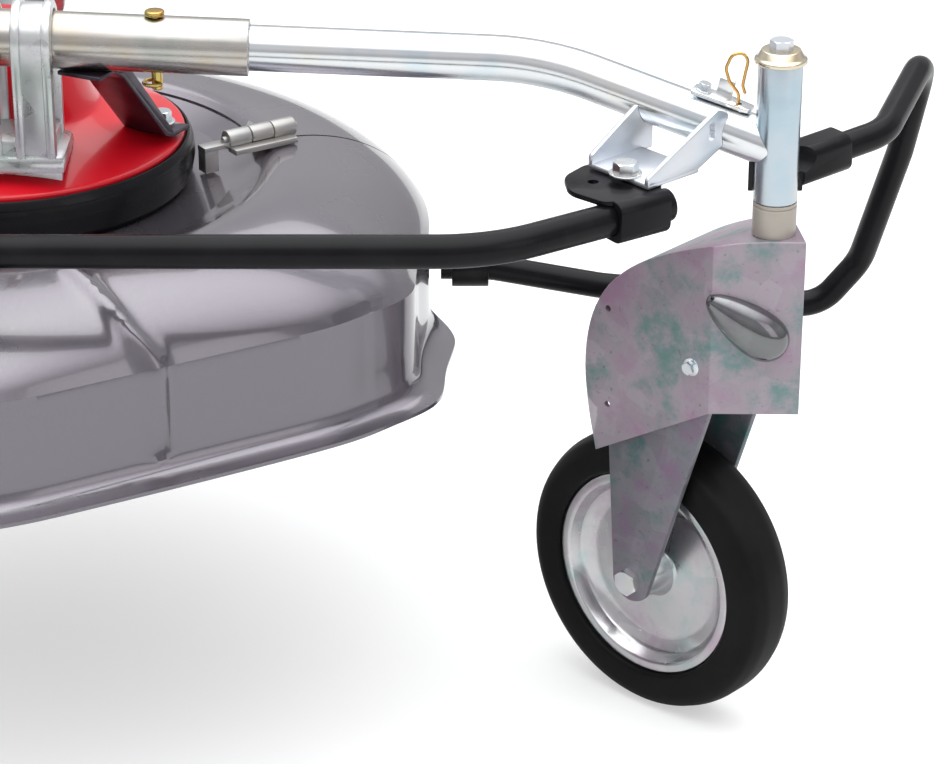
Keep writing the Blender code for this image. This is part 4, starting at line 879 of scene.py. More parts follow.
def door_plan(gap):
    """The plan of a left door, shrunk by a gap, as a tall closed form."""
    inner = DOOR_INNER_R + gap
    side_x = DOOR_SIDE_X + gap
    start = Vector((HINGE_AT.x, HINGE_AT.y, 0)) + HINGE_OUT * gap
    first = start + HINGE_DIR * hinge_reach(inner, gap)
    outer = start + HINGE_DIR * (SKIRT_R - 110 * MM)
    begin = math.atan2(first.y, first.x)
    stop = math.acos(side_x / inner)
    outline = [
        (inner * math.cos(a), inner * math.sin(a))
        for a in (stop + (begin - stop) * i / 60 for i in range(61))
    ]
    far = SKIRT_R + 90 * MM
    outline += [(outer.x, outer.y), (outer.x, far), (side_x, far)]
    return plate(outline, 220 * MM, at=Vector((0, 0, up(-200 * MM))), edge=0)


def hinge_point(s, n, h):
    return HINGE_AT + HINGE_DIR * s + HINGE_OUT * n + Z_AXIS * h


def hinge_axes():
    return axes_of(HINGE_DIR, HINGE_OUT)


def build_deck():
    right = mirrored(door_plan(0))
    sheet = turned_deck(deck_loop(), DECK_STEPS)
    shell = cut(sheet.copy(), door_plan(0), right)
    piece("pressed_deck", shell, DECK_PAINT, "deck_shell", smooth=30)
    door = combine(sheet, [door_plan(DOOR_GAP)], "INTERSECT")
    gap = 0.4 * MM
    start, end = KNUCKLE_ENDS[1] + gap, KNUCKLE_ENDS[2] - gap
    leaf = plate(
        [(start, 3 * MM), (end, 3 * MM), (end, 34 * MM), (start + 8 * MM, 20 * MM)],
        10.5 * MM, hinge_axes(), HINGE_AT - Z_AXIS * 12.5 * MM,
    )
    web = plate(
        [(start, 0), (end, 0), (end, 8 * MM), (start, 8 * MM)],
        5 * MM, hinge_axes(), HINGE_AT - Z_AXIS * 6 * MM,
    )
    knuckle = rod(
        hinge_point(start, 0, 0), hinge_point(end, 0, 0), KNUCKLE_R,
        HINGE_PIN_R + 0.5 * MM, corner=0.9 * MM,
    )
    pair("door_knuckle", add(knuckle, web, leaf), HINGE_ZINC, "rear_door", False)
    pair("pressed_door", door, DECK_PAINT, "rear_door", smooth=30)


def build_hinges():
    inner = hinge_reach(RING_R + 1.5 * MM, 6 * MM)
    first, last = KNUCKLE_ENDS[0], KNUCKLE_ENDS[3]
    axes = hinge_axes()
    leaf = plate(
        [(first, -16 * MM), (last - 4 * MM, -16 * MM), (last - 4 * MM, -3 * MM), (first, -3 * MM)],
        4.5 * MM, axes, HINGE_AT - Z_AXIS * 8.5 * MM, corner=1 * MM, edge=0.8 * MM,
    )
    notch = hole(hinge_point(KNUCKLE_ENDS[1], 0, 0), hinge_point(KNUCKLE_ENDS[2], 0, 0), KNUCKLE_R + 0.6 * MM)
    leaf = cut(leaf, notch)
    tab = plate(
        [(inner, -6 * MM), (first + 4 * MM, -6 * MM), (first + 4 * MM, 6 * MM), (inner, 6 * MM)],
        4 * MM, axes, HINGE_AT - Z_AXIS * 5 * MM, edge=0.6 * MM,
    )
    foot = plate(
        [(inner + 0.2 * MM, -5.8 * MM), (inner + 12 * MM, -5.8 * MM), (inner + 12 * MM, 5.8 * MM), (inner + 0.2 * MM, 5.8 * MM)],
        18 * MM, axes, HINGE_AT - Z_AXIS * 22 * MM, edge=0.6 * MM,
    )
    add(leaf, tab, foot)
    for start, end in ((first, KNUCKLE_ENDS[1]), (KNUCKLE_ENDS[2], last)):
        add(leaf, rod(hinge_point(start, 0, 0), hinge_point(end, 0, 0), KNUCKLE_R, corner=0.9 * MM))
    add(leaf, rod(hinge_point(first - 3 * MM, 0, 0), hinge_point(last + 3 * MM, 0, 0), HINGE_PIN_R))
    pair("hinge_leaf_form", leaf, HINGE_ZINC, "hinge_leaf")


# Hub

COVER_PROFILE = (
    (52, 84), (59, 80), (67, 52), (75, 25), (81, 20.5), (110, 12), (138, 1.5),
    (142, 0), (142, -3.5),
)


def build_hub():
    top = rounded_line([Vector((r * MM, h * MM)) for r, h in COVER_PROFILE], 2)
    wall = Vector((COVER_WALL, COVER_WALL))
    under = [p - wall for p in top]
    outline = [(0, 84 * MM)] + [tuple(p) for p in top]
    outline += [(COVER_R - COVER_WALL, -3.5 * MM)] + [tuple(p) for p in under[::-1] if p.x > 50 * MM and p.y > -1 * MM]
    outline += [(0, 81 * MM)]
    cover = turned([(r, up(h)) for r, h in outline], steps=160)
    opening = hole(Vector((0, 30 * MM, up(INPUT_H))), Vector((0, 120 * MM, up(INPUT_H))), INPUT_TUBE_R + 2 * MM)
    piece("hub_cover_form", cut(cover, opening), RED_PAINT, "hub_cover")
    low = FLOOR_H + 0.4 * MM
    loop = [
        (COVER_R - 6 * MM, low), (RING_R - 6.5 * MM, low), (RING_R - 2.5 * MM, -34 * MM),
        (RING_R, -20 * MM), (RING_R - 1 * MM, -9 * MM), (RING_R - 4 * MM, -2.5 * MM),
        (COVER_R + 2 * MM, -2.5 * MM), (COVER_R + 1.2 * MM, -4.2 * MM),
        (COVER_R - 6 * MM, -4.2 * MM),
    ]
    piece("hub_ring_form", turned([(r, up(h)) for r, h in loop], steps=160, corner=1.2 * MM), RING_RUBBER, "hub_ring")


# Arms


def sleeve_point(x):
    return Vector((x, ARM_Y, up(SLEEVE_H) - (x - SLEEVE_X[0]) * math.tan(ARM_SLOPE)))


def arm_path():
    start = sleeve_point(ARM_START_X)
    bend = sleeve_point(ARM_BEND_X)
    end = bend + ARM_DIR * ((POST_AT.x - bend.x) / ARM_DIR.x)
    return rounded_path([start, bend, end], [190 * MM], math.radians(1.5))


def arm_point(u):
    return sleeve_point(ARM_BEND_X) + ARM_DIR * u


def arm_axes():
    side = Z_AXIS.cross(ARM_DIR).normalized()
    return axes_of(ARM_DIR, side)


def post_cutter(radius):
    base = Vector((POST_AT.x, POST_AT.y, up(-60 * MM)))
    return hole(base, base + Z_AXIS * 260 * MM, radius)


def build_arms():
    sleeve = rod(sleeve_point(SLEEVE_X[0]), sleeve_point(SLEEVE_X[1]), SLEEVE_R, SLEEVE_BORE_R, 96, 0.7 * MM)
    pin = sleeve_point(PIN_X)
    sleeve = cut(sleeve, hole(pin - Z_AXIS * 40 * MM, pin + Z_AXIS * 40 * MM, PIN_R + 0.5 * MM))
    pair("sleeve_form", sleeve, SLEEVE_ZINC, "sleeve")
    arm = drawn(arm_path(), ARM_R, ARM_WALL, 64)
    arm = cut(arm, post_cutter(POST_R + 0.2 * MM))
    pair("arm_form", arm, ZINC, "arm_tube")


def guard_path():
    points = [
        Vector((4 * MM, GUARD_Y, up(GUARD_H))),
        Vector((375 * MM, GUARD_Y, up(GUARD_H))),
        Vector((502 * MM, -203 * MM, up(GUARD_H))),
    ]
    return rounded_path(points, [120 * MM], math.radians(2))


def loop_points():
    plan = [
        (604, -145, 31), (667, -100, 36), (714, 30, 52), (702, 60, -40),
        (680, 100, -151), (648, 100, -191), (468, 100, -173),
    ]
    points = [Vector((x * MM, y * MM, up(h * MM))) for x, y, h in plan]
    ends = (EYE_X[1] - 1 * MM, EYE_X[0] - 9 * MM)
    return points + [EYE_AT + Vector((x, 0, 0)) for x in ends]


def loop_path():
    radii = [50 * MM, 46 * MM, 80 * MM, 40 * MM, 34 * MM, 120 * MM, 120 * MM]
    return rounded_path(loop_points(), radii, math.radians(3))


def build_guards():
    pair("front_guard_form", drawn(guard_path(), GUARD_R, TUBE_WALL, 48), BLACK_PAINT, "front_guard")
    loop = cut(drawn(loop_path(), LOOP_R - 0.4 * MM, TUBE_WALL, 48), post_cutter(POST_R + 4.4 * MM))
    pair("loop_guard_form", loop, BLACK_PAINT, "loop_guard")


def build_posts():
    base = Vector((POST_AT.x, POST_AT.y, up(POST_H[0])))
    top = Vector((POST_AT.x, POST_AT.y, up(POST_H[1])))
    pair("post_form", rod(base, top, POST_R, 12.9 * MM, 64, 0.5 * MM), POST_ZINC, "post_tube")


# Forks and wheels


def fork_point(x, y, h):
    axes = axes_of(TRAIL_DIR, FORK_SIDE)
    return Vector((POST_AT.x, POST_AT.y, 0)) + axes @ Vector((x, y, up(h)))


def wheel_axes():
    return axes_along(FORK_SIDE)


def wheel_turned(profile, corner=0, steps=128):
    centre = fork_point(TRAIL, 0, WHEEL_R - RIM_Z)
    return turned(profile, centre, FORK_SIDE, steps, corner)


def build_wheels():
    r = WHEEL_R
    w = TYRE_HALF
    tyre = wheel_turned([
        (TYRE_BORE_R + 0.4 * MM, -w), (r - 11 * MM, -w), (r - 4 * MM, -w + 4 * MM), (r, -w + 15 * MM),
        (r, w - 15 * MM), (r - 4 * MM, w - 4 * MM), (r - 11 * MM, w), (TYRE_BORE_R + 0.4 * MM, w),
    ], corner=3 * MM)
    pair("tyre_form", tyre, TYRE_RUBBER, "tyre")
    hub = LEG_IN - 1 * MM
    rim = wheel_turned([
        (AXLE_R + 0.5 * MM, -hub), (15 * MM, -hub), (22 * MM, -8 * MM), (60 * MM, -5 * MM),
        (71 * MM, -10 * MM), (76 * MM, -21 * MM), (TYRE_BORE_R, -21 * MM),
        (TYRE_BORE_R, 21 * MM), (76 * MM, 21 * MM), (71 * MM, 10 * MM),
        (60 * MM, 5 * MM), (22 * MM, 8 * MM), (15 * MM, hub), (AXLE_R + 0.5 * MM, hub),
    ], corner=2 * MM)
    pair("rim_form", rim, RIM_ZINC, "rim")


# Hub drive


def deck_block(gap):
    """Everything under the deck's top face, for trimming what rests on it."""
    line = [p + Vector((gap, gap, 0)) for p in deck_section() if p.z < 0.01]
    low = -230 * MM
    line += [Vector((SKIRT_R + gap, low, 0)), Vector((DECK_HOLE_R, low, 0))]
    return turned_deck(line, 180)


def build_drive():
    floor = FLOOR_H + 0.4 * MM
    wall = [
        (0, CASE_TOP_H), (40 * MM, CASE_TOP_H), (CASE_R, CASE_TOP_H - 9 * MM),
        (CASE_R, -28 * MM), (110 * MM, -28 * MM), (110 * MM, floor), (54 * MM, floor),
        (46 * MM, -96 * MM), (30.4 * MM, -96 * MM), (30.4 * MM, -80 * MM),
        (22 * MM, -80 * MM), (22 * MM, 2 * MM), (CASE_R - 6 * MM, 8 * MM),
        (CASE_R - 6 * MM, CASE_TOP_H - 5 * MM), (0, CASE_TOP_H - 5 * MM),
    ]
    case = turned([(r, up(h)) for r, h in wall], steps=128, corner=1.5 * MM)
    at = Vector((0, 0, up(INPUT_H)))
    tube = rod(at + Y_AXIS * (CASE_R - 4 * MM), at + Y_AXIS * 160 * MM, INPUT_TUBE_R, steps=64, corner=2 * MM)
    band = rod(at + Y_AXIS * 146 * MM, at + Y_AXIS * 156 * MM, INPUT_TUBE_R + 1.6 * MM, steps=64)
    case = join(case, tube, band)
    bore = hole(at + Y_AXIS * (CASE_R - 12 * MM), at + Y_AXIS * 170 * MM, INPUT_SHAFT_R + 0.4 * MM)
    piece("gear_case_form", cut(case, bore), CAST, "gear_case")
    shaft = rod(at + Y_AXIS * 20 * MM, at + Y_AXIS * (INPUT_FACE_Y - 3 * MM), INPUT_SHAFT_R)
    teeth = []
    for i in range(12):
        middle = -math.pi / 2 + i * math.tau / 12
        for r, turn in ((14, -0.105), (18, -0.058), (18, 0.058), (14, 0.105)):
            teeth.append((r * MM * math.cos(middle + turn), r * MM * math.sin(middle + turn)))
    pinion = plate(teeth, 9 * MM, axes_of(X_AXIS, -Z_AXIS), at + Y_AXIS * 28.5 * MM)
    flange = rod(at + Y_AXIS * (INPUT_FACE_Y - 12 * MM), at + Y_AXIS * INPUT_FACE_Y, 32 * MM, steps=96, corner=1.5 * MM)
    dish = rod(at + Y_AXIS * (INPUT_FACE_Y - 1 * MM), at + Y_AXIS * (INPUT_FACE_Y + 4 * MM), 14 * MM, steps=64, corner=0)
    holes = []
    for i in range(4):
        angle = math.radians(45 + 90 * i)
        spot = at + 22 * MM * Vector((math.cos(angle), 0, math.sin(angle)))
        holes.append(hole(spot + Y_AXIS * 170 * MM, spot + Y_AXIS * 200 * MM, 3.3 * MM))
    flange = cut(flange, dish, *holes)
    piece("input_form", add(shaft, pinion, flange), STEEL, "input_shaft")


def build_knives():
    low = up(-132 * MM)
    half, wide = 176 * MM, 30 * MM
    bar = plate(
        [(-half, -wide), (half, -wide), (half, wide), (-half, wide)],
        8 * MM, at=Vector((0, 0, low)), corner=24 * MM, edge=1.2 * MM, segments=12,
    )
    boss = rod(Vector((0, 0, low + 2 * MM)), Vector((0, 0, up(-106 * MM))), 24 * MM, steps=64, corner=2 * MM)
    bar = cut(join(bar, boss), hole(Vector((0, 0, low - 9 * MM)), Vector((0, 0, up(-90 * MM))), 12.4 * MM))
    for side in (-1, 1):
        spot = Vector((side * 150 * MM, 0, 0))
        end = up(-138.2 * MM)
        add(bar, rod(spot + Z_AXIS * end, spot + Z_AXIS * (low + 2 * MM), 6 * MM))
        add(bar, rod(spot + Z_AXIS * (end - 5 * MM), spot + Z_AXIS * (end + 0.4 * MM), 12 * MM, corner=1.5 * MM))
        add(bar, hex_head(spot + Z_AXIS * up(-124.6 * MM), Z_AXIS, 19 * MM, 8 * MM))
    piece("carrier_form", bar, BLACK_PAINT, "blade_carrier")
    top = -132.4 * MM
    cup = turned(
        [(12.4 * MM, up(top)), (38 * MM, up(top)), (45 * MM, up(top - 6 * MM)),
         (45 * MM, up(top - 9 * MM)), (30 * MM, up(top - 20 * MM)), (0, up(top - 22 * MM)),
         (0, up(top - 15 * MM)), (12.4 * MM, up(top - 15 * MM))], steps=96, corner=2 * MM,
    )
    piece("anti_wrap_cup", cup, BLACK_PAINT, "spindle_nut")
    tip = 280.5 * MM
    x0 = 150 * MM
    for name, turn in (("knife_one", 0), ("knife_two", math.pi)):
        knife = plate(
            [(x0 - 24 * MM, -21 * MM), (tip - 14 * MM, -21 * MM), (tip, -6 * MM), (tip, 20 * MM), (x0 - 24 * MM, 21 * MM)],
            5 * MM, at=Vector((0, 0, up(-137.6 * MM))), corner=6 * MM, edge=0.3 * MM,
        )
        ground = plate(
            [(-26 * MM, up(-132 * MM)), (-14 * MM, up(-132 * MM)), (-22 * MM, up(-138 * MM)), (-26 * MM, up(-138 * MM))],
            140 * MM, axes_of(Y_AXIS, Z_AXIS), Vector((x0 + 10 * MM, 0, 0)), edge=0,
        )
        bore = hole(Vector((x0, 0, up(-150 * MM))), Vector((x0, 0, up(-120 * MM))), 6.5 * MM)
        knife = cut(knife, ground, bore)
        place(knife, Matrix.Rotation(turn, 3, "Z"))
        piece(name + "_form", knife, STEEL, name)


# Guard and stand supports on the deck


def build_deck_supports():
    trim = deck_block(0.4 * MM)
    foot = block((-30 * MM, GUARD_Y - 24 * MM, up(-90 * MM)), (30 * MM, GUARD_Y + 32 * MM, up(-26 * MM)), 3 * MM)
    web = block((-26 * MM, GUARD_Y - 6 * MM, up(-60 * MM)), (26 * MM, GUARD_Y + 6 * MM, up(GUARD_H)), 1.5 * MM)
    nose = join(foot, web)
    away = hole(Vector((-60 * MM, GUARD_Y, up(GUARD_H))), Vector((60 * MM, GUARD_Y, up(GUARD_H))), GUARD_R + 4.4 * MM)
    piece("nose_bracket_form", cut(nose, trim.copy(), away), BLACK_PAINT, "nose_bracket")
    ends = (Vector((-38 * MM, GUARD_Y, up(GUARD_H))), Vector((38 * MM, GUARD_Y, up(GUARD_H))))
    sleeve = rod(*ends, GUARD_R + 4 * MM, GUARD_R + 1.8 * MM, steps=64, corner=0.8 * MM)
    piece("guard_sleeve_form", sleeve, BLACK_PAINT, "guard_sleeve")
    one, two = EYE_AT + Vector((EYE_X[0], 0, 0)), EYE_AT + Vector((EYE_X[1], 0, 0))
    eye = rod(one, two, LOOP_R + 5.5 * MM, steps=64, corner=1 * MM)
    arm = block(
        (SKIRT_R - 18 * MM, EYE_AT.y - 14 * MM, EYE_AT.z + 6 * MM),
        (EYE_X[1] - 6 * MM, EYE_AT.y + 4 * MM, EYE_AT.z + 17 * MM), 2 * MM,
    )
    bore = hole(one - X_AXIS * 40 * MM, two + X_AXIS * 20 * MM, LOOP_R + 2.2 * MM)
    pair("guide_eye_form", cut(join(eye, arm), bore, trim.copy()), BLACK_PAINT, "guide_eye")
    y = SKIRT_R + 14 * MM
    low, high = up(-150 * MM), up(-92 * MM)
    socket = rod(Vector((0, y, low)), Vector((0, y, high)), 16 * MM, steps=64, corner=1 * MM)
    pad = block((-30 * MM, SKIRT_R - 10 * MM, low + 4 * MM), (30 * MM, y - 4 * MM, high - 4 * MM), 3 * MM)
    bore = hole(Vector((0, y, low - 9 * MM)), Vector((0, y, high + 9 * MM)), 10.5 * MM)
    piece("stand_socket_form", cut(join(socket, pad), bore, trim), BLACK_PAINT, "stand_socket")
    foot = block((-55 * MM, y - 18.4 * MM, 0), (55 * MM, y + 18.4 * MM, 6 * MM), 1.5 * MM)
    leg = rod(Vector((0, y, 4 * MM)), Vector((0, y, up(-80 * MM))), 10 * MM, steps=64, corner=1.5 * MM)
    piece("stand_leg_form", add(foot, leg), ZINC, "stand_leg")


# Saddle, brace and pins


def strap(x0, x1, inner, outer, low, edge):
    """An inverted U over the sleeve, with straight legs down to a height."""
    axis_h = sleeve_point((x0 + x1) / 2).z
    arc = [math.pi * i / 40 for i in range(41)]
    outline = [(ARM_Y + outer * math.cos(a), axis_h + outer * math.sin(a)) for a in arc]
    outline += [(ARM_Y - outer, low), (ARM_Y - inner, low)]
    outline += [(ARM_Y - inner * math.cos(a), axis_h + inner * math.sin(a)) for a in arc]
    outline += [(ARM_Y + inner, low), (ARM_Y + outer, low)]
    return plate(outline, x1 - x0, axes_of(Y_AXIS, Z_AXIS), Vector((x0, 0, 0)), edge=edge)


def build_saddles():
    gap = SLEEVE_R + 0.9 * MM
    low = up(16 * MM)
    saddle = strap(30 * MM, 60 * MM, gap, gap + 5 * MM, low, 1.6 * MM)
    for x in (30.4 * MM, 52.6 * MM):
        add(saddle, strap(x, x + 7 * MM, gap + 2 * MM, gap + 8 * MM, low + 3 * MM, 2.4 * MM))
    add(saddle, strap(10 * MM, 20 * MM, gap, gap + 4 * MM, low, 1.6 * MM))
    add(saddle, block((8 * MM, ARM_Y - gap - 9 * MM, up(14 * MM)), (66 * MM, ARM_Y + gap + 9 * MM, up(27 * MM)), 3.5 * MM))
    add(saddle, block((12 * MM, ARM_Y - gap - 2 * MM, up(26 * MM)), (58 * MM, ARM_Y + gap + 2 * MM, up(38 * MM)), 2 * MM))
    rest = block((12 * MM, ARM_Y - 17 * MM, up(-2 * MM)), (62 * MM, ARM_Y + gap, up(16 * MM)), 1 * MM)
    add(saddle, cut(rest, cover_block(0.4 * MM)))
    pair("saddle_form", saddle, SADDLE_CAST, "saddle")


def cover_block(gap):
    line = [(r * MM + gap, h * MM + gap) for r, h in COVER_PROFILE]
    line = [(0, line[0][1])] + line + [(COVER_R + gap, -8 * MM), (0, -8 * MM)]
    return turned([(r, up(h)) for r, h in line], steps=128)


def build_braces():
    high, foot = Vector((84 * MM, ARM_Y, 0)), Vector((126 * MM, -14 * MM, 0))
    along = (foot - high).normalized()
    axes = axes_of(along, Z_AXIS)
    line = [(-16, 86), (8, 86), (20, 78), (76, 14), (86, 10), (108, 9)]
    top = [(s * MM, up(h * MM)) for s, h in line]
    under = [(s - 2.6 * MM, h - 3.2 * MM) for s, h in top]
    under[0], under[-1] = (top[0][0], top[0][1] - 3.4 * MM), (top[-1][0], top[-1][1] - 3.4 * MM)
    strut = plate(top + under[::-1], 36 * MM, axes, high - axes.col[2] * 18 * MM, corner=1.2 * MM, edge=0.9 * MM)
    web = [(-10, 85), (4, 85), (26, 81), (69, 30), (84, 12), (84, 8.5), (75, 14), (18, 78), (6, 84), (-10, 84)]
    web = [(s * MM, up(h * MM)) for s, h in web]
    walls = [
        plate(web, 3.2 * MM, axes, high + axes.col[2] * n * MM, edge=0.6 * MM)
        for n in (-18, 14.8)
    ]
    sleeve = rod(sleeve_point(0), sleeve_point(SLEEVE_X[1] + 40 * MM), SLEEVE_R + 0.4 * MM, corner=0)
    parts = [cut(part, sleeve.copy(), cover_block(0.4 * MM)) for part in [strut] + walls]
    pair("brace_form", add(*parts), DARK_ZINC, "brace")
    spot = high + along * 97 * MM
    at = Vector((spot.x, spot.y, up(10.8 * MM)))
    pair("brace_bolt_form", hex_head(at, Z_AXIS, 13 * MM, 8 * MM, 10 * MM, 2 * MM), ZINC, "brace_bolt")


def build_lynch_pins():
    at = sleeve_point(PIN_X)
    seat = at + Z_AXIS * (SLEEVE_R + 0.6 * MM)
    low = at - Z_AXIS * (SLEEVE_R + 14 * MM)
    pin = rod(low, seat + Z_AXIS * 2 * MM, PIN_R, corner=1.2 * MM)
    add(pin, rod(seat, seat + Z_AXIS * 4 * MM, 7.4 * MM, corner=1.4 * MM))
    ring = low + Z_AXIS * 5 * MM
    path = [
        ring + 7 * MM * Vector((math.cos(a) - 0.4, math.sin(a), 0))
        for a in (math.radians(30 + 300 * i / 40) for i in range(41))
    ]
    pair("lynch_pin_form", add(pin, drawn(path, 1.5 * MM, sides=16)), GOLD, "lynch_pin")


# Bracket, clamps and swivel lock

BRACKET_AT = Vector((446 * MM, -172 * MM, 0))
BRACKET_DIR = Vector((0.74, 0.673, 0)).normalized()
BRACKET_SIDE = Vector((BRACKET_DIR.y, -BRACKET_DIR.x, 0))
BRACKET_WIDE = 61 * MM


def bracket_point(s, n):
    return BRACKET_AT + BRACKET_DIR * s + BRACKET_SIDE * n


def build_brackets():
    low = up(36 * MM)
    floor = plate(
        [(0, 0), (52 * MM, 0), (52 * MM, BRACKET_WIDE), (0, BRACKET_WIDE)], 4 * MM,
        axes_of(BRACKET_DIR, BRACKET_SIDE), bracket_point(0, 0) + Z_AXIS * (low + 4 * MM),
        corner=2 * MM, edge=1.2 * MM,
    )
    axes = axes_of(BRACKET_DIR, Z_AXIS)
    far = [(0, 37), (62, 37), (62, 80), (50, 76), (28, 63), (0, 46)]
    near = [(0, 37), (48, 37), (81, 52), (81, 74), (70, 79), (0, 44)]
    for cheek, n in ((far, 0.2 * MM), (near, BRACKET_WIDE - 4.2 * MM)):
        profile = [(s * MM, up(h * MM)) for s, h in cheek]
        cheek = plate(profile, 4 * MM, axes, bracket_point(0, n), corner=2 * MM, edge=1 * MM)
        cheek = cut(cheek, drawn(arm_path(), ARM_R + 0.4 * MM, sides=64, edge=0))
        if n > 1 * MM:
            for h in (60 * MM, 64 * MM, 68 * MM):
                spot = bracket_point(64 * MM, n) + Z_AXIS * up(h)
                cheek = cut(cheek, hole(spot - BRACKET_SIDE * 3 * MM, spot + BRACKET_SIDE * 8 * MM, 3 * MM))
        add(floor, cheek)
    pair("bracket_form", floor, BRIGHT_ZINC, "arm_bracket")
    spot = Vector((472 * MM, -196 * MM, up(39.8 * MM)))
    pair("bracket_bolt", hex_head(spot, Z_AXIS, 16 * MM, 8 * MM, 12 * MM, 2 * MM), ZINC, "arm_bracket", False)


def tube_clamp(start, end, radius):
    """A folded strap round a tube: a square with rounded corners, drawn along it."""
    along = (end - start).normalized()
    side = Z_AXIS.cross(along).normalized()
    reach = radius + 3.4 * MM
    return plate(
        [(-reach, -reach), (reach, -reach), (reach, reach), (-reach, reach)],
        (end - start).length, axes_of(side, along.cross(side)), start,
        corner=8 * MM, edge=1.2 * MM, segments=8,
    )


def build_clamps():
    path = guard_path()
    end = path[-1]
    back = (path[-2] - end).normalized()
    start = end + back * 52 * MM
    clamp = tube_clamp(start, end + back * 8 * MM, GUARD_R)
    tab = [(428, -188), (431, -216), (458, -240), (500, -206), (478, -162), (446, -162)]
    tab = plate(
        [(x * MM, y * MM) for x, y in tab], 4.2 * MM, at=Vector((0, 0, up(31.4 * MM))),
        corner=8 * MM, edge=0.9 * MM, segments=8,
    )
    bore = drawn([start + back * 10 * MM, end - back * 20 * MM], GUARD_R + 0.4 * MM, sides=64, edge=0)
    spot = Vector((449 * MM, -199 * MM, up(20 * MM)))
    clamp = cut(join(clamp, tab), bore, hole(spot, spot + Z_AXIS * 30 * MM, 4 * MM))
    pair("guard_clamp_form", clamp, BLACK_PAINT, "guard_clamp")
    one, two = loop_points()[:2]
    along = (two - one).normalized()
    holder = tube_clamp(one - along * 12 * MM, one + along * 34 * MM, LOOP_R)
    low, high = up(14 * MM), up(50 * MM)
    post = Vector((POST_AT.x, POST_AT.y, 0))
    collar = rod(post + Z_AXIS * low, post + Z_AXIS * high, POST_R + 4 * MM, steps=64, corner=1 * MM)
    reach = POST_R + 9 * MM
    front = block(
        (post.x - reach, post.y - reach, low - 1 * MM), (post.x + reach, post.y + 3 * MM, high + 1 * MM), 0,
    )
    holder = join(holder, cut(collar, front))
    run = [loop_points()[0] - along * 2 * MM] + loop_path()
    arm = arm_path() + [arm_point(215 * MM)]
    holder = cut(
        holder, post_cutter(POST_R + 0.4 * MM), drawn(run, LOOP_R + 0.4 * MM, sides=64, edge=0),
        drawn(arm, ARM_R + 0.4 * MM, sides=64, edge=0),
    )
    pair("loop_clamp_form", holder, BLACK_PAINT, "loop_clamp")


LOCK_AT = 120 * MM


def build_locks():
    axes = arm_axes()
    pivot = arm_point(LOCK_AT)
    outline = [(-8, -8), (34, -7), (38, -5), (38, 7), (20, 9), (-8, 8)]
    low = ARM_R + 1.2 * MM
    above = axes.col[2]
    blade = plate(
        [(x * MM, y * MM) for x, y in outline], 3 * MM, axes, pivot + above * low,
        corner=3 * MM, edge=0.6 * MM,
    )
    hook = plate(
        [(8 * MM, 5 * MM), (20 * MM, 5 * MM), (20 * MM, 8 * MM), (8 * MM, 8 * MM)], 13 * MM,
        axes, pivot + above * (low + 2 * MM), edge=0.8 * MM,
    )
    clip_at = pivot + axes @ Vector((28 * MM, 0, 0))
    blade = cut(join(blade, hook), hole(clip_at, clip_at + above * 40 * MM, 1.8 * MM))
    add(blade, hex_head(pivot + above * (low + 2.9 * MM), above, 8 * MM, 5 * MM, 6 * MM, 1.2 * MM))
    pair("lock_form", blade, ZINC, "lock_plate")
    base = clip_at + above * (low - 0.6 * MM)
    shape = [(0, 0), (0, 9), (-1, 12), (-7, 20), (-10, 30), (-6, 40), (2, 42), (6, 36), (4, 26), (2.5, 17), (4.5, 11)]
    wire = [base + Vector((x * MM, 0, z * MM)) for x, z in shape]
    wire = rounded_path(wire, [6 * MM] * (len(wire) - 2), math.radians(12))
    pair("clip_form", drawn(wire, 1.2 * MM, sides=16, edge=0.3 * MM), GOLD, "spring_clip")


# Fork

HOOD_NOSE_X = -30 * MM
HOOD_BEND_X = 20 * MM

# Along the trail and height in millimetres: nose, crown and the curved rear
HOOD_OUTLINE = (
    (-38, -34), (-38, -17), (12, -17), (45, -30), (75, -44), (100, -60),
    (122, -82), (136, -110), (141, -146), (137, -182), (128, -219),
)


def hood_form(outline, wall, edge):
    """A side view drawn out across, kept where it is inside the plan of the hood."""
    low = up(-290 * MM)
    line = rounded_line([Vector(p) for p in outline[1:]], 2)
    line = [tuple(outline[0])] + [tuple(p) for p in line] + [(line[-1][0], low), (outline[0][0], low)]
    side_axes = axes_of(TRAIL_DIR, Z_AXIS)
    side = plate(line, 160 * MM, side_axes, POST_AT - side_axes.col[2] * 80 * MM, edge=0)
    half = HOOD_HALF - wall
    run = HOOD_BEND_X - HOOD_NOSE_X
    ridge = HOOD_NOSE_X + wall * math.hypot(HOOD_HALF, run) / HOOD_HALF
    bend = ridge + half * run / HOOD_HALF
    plan = [(ridge, 0), (bend, -half), (300 * MM, -half), (300 * MM, half), (bend, half)]
    plan = plate(plan, 500 * MM, axes_of(TRAIL_DIR, FORK_SIDE), POST_AT + Z_AXIS * up(-440 * MM), edge=0)
    return soften(combine(side, [plan], "INTERSECT"), edge, 5, 36)


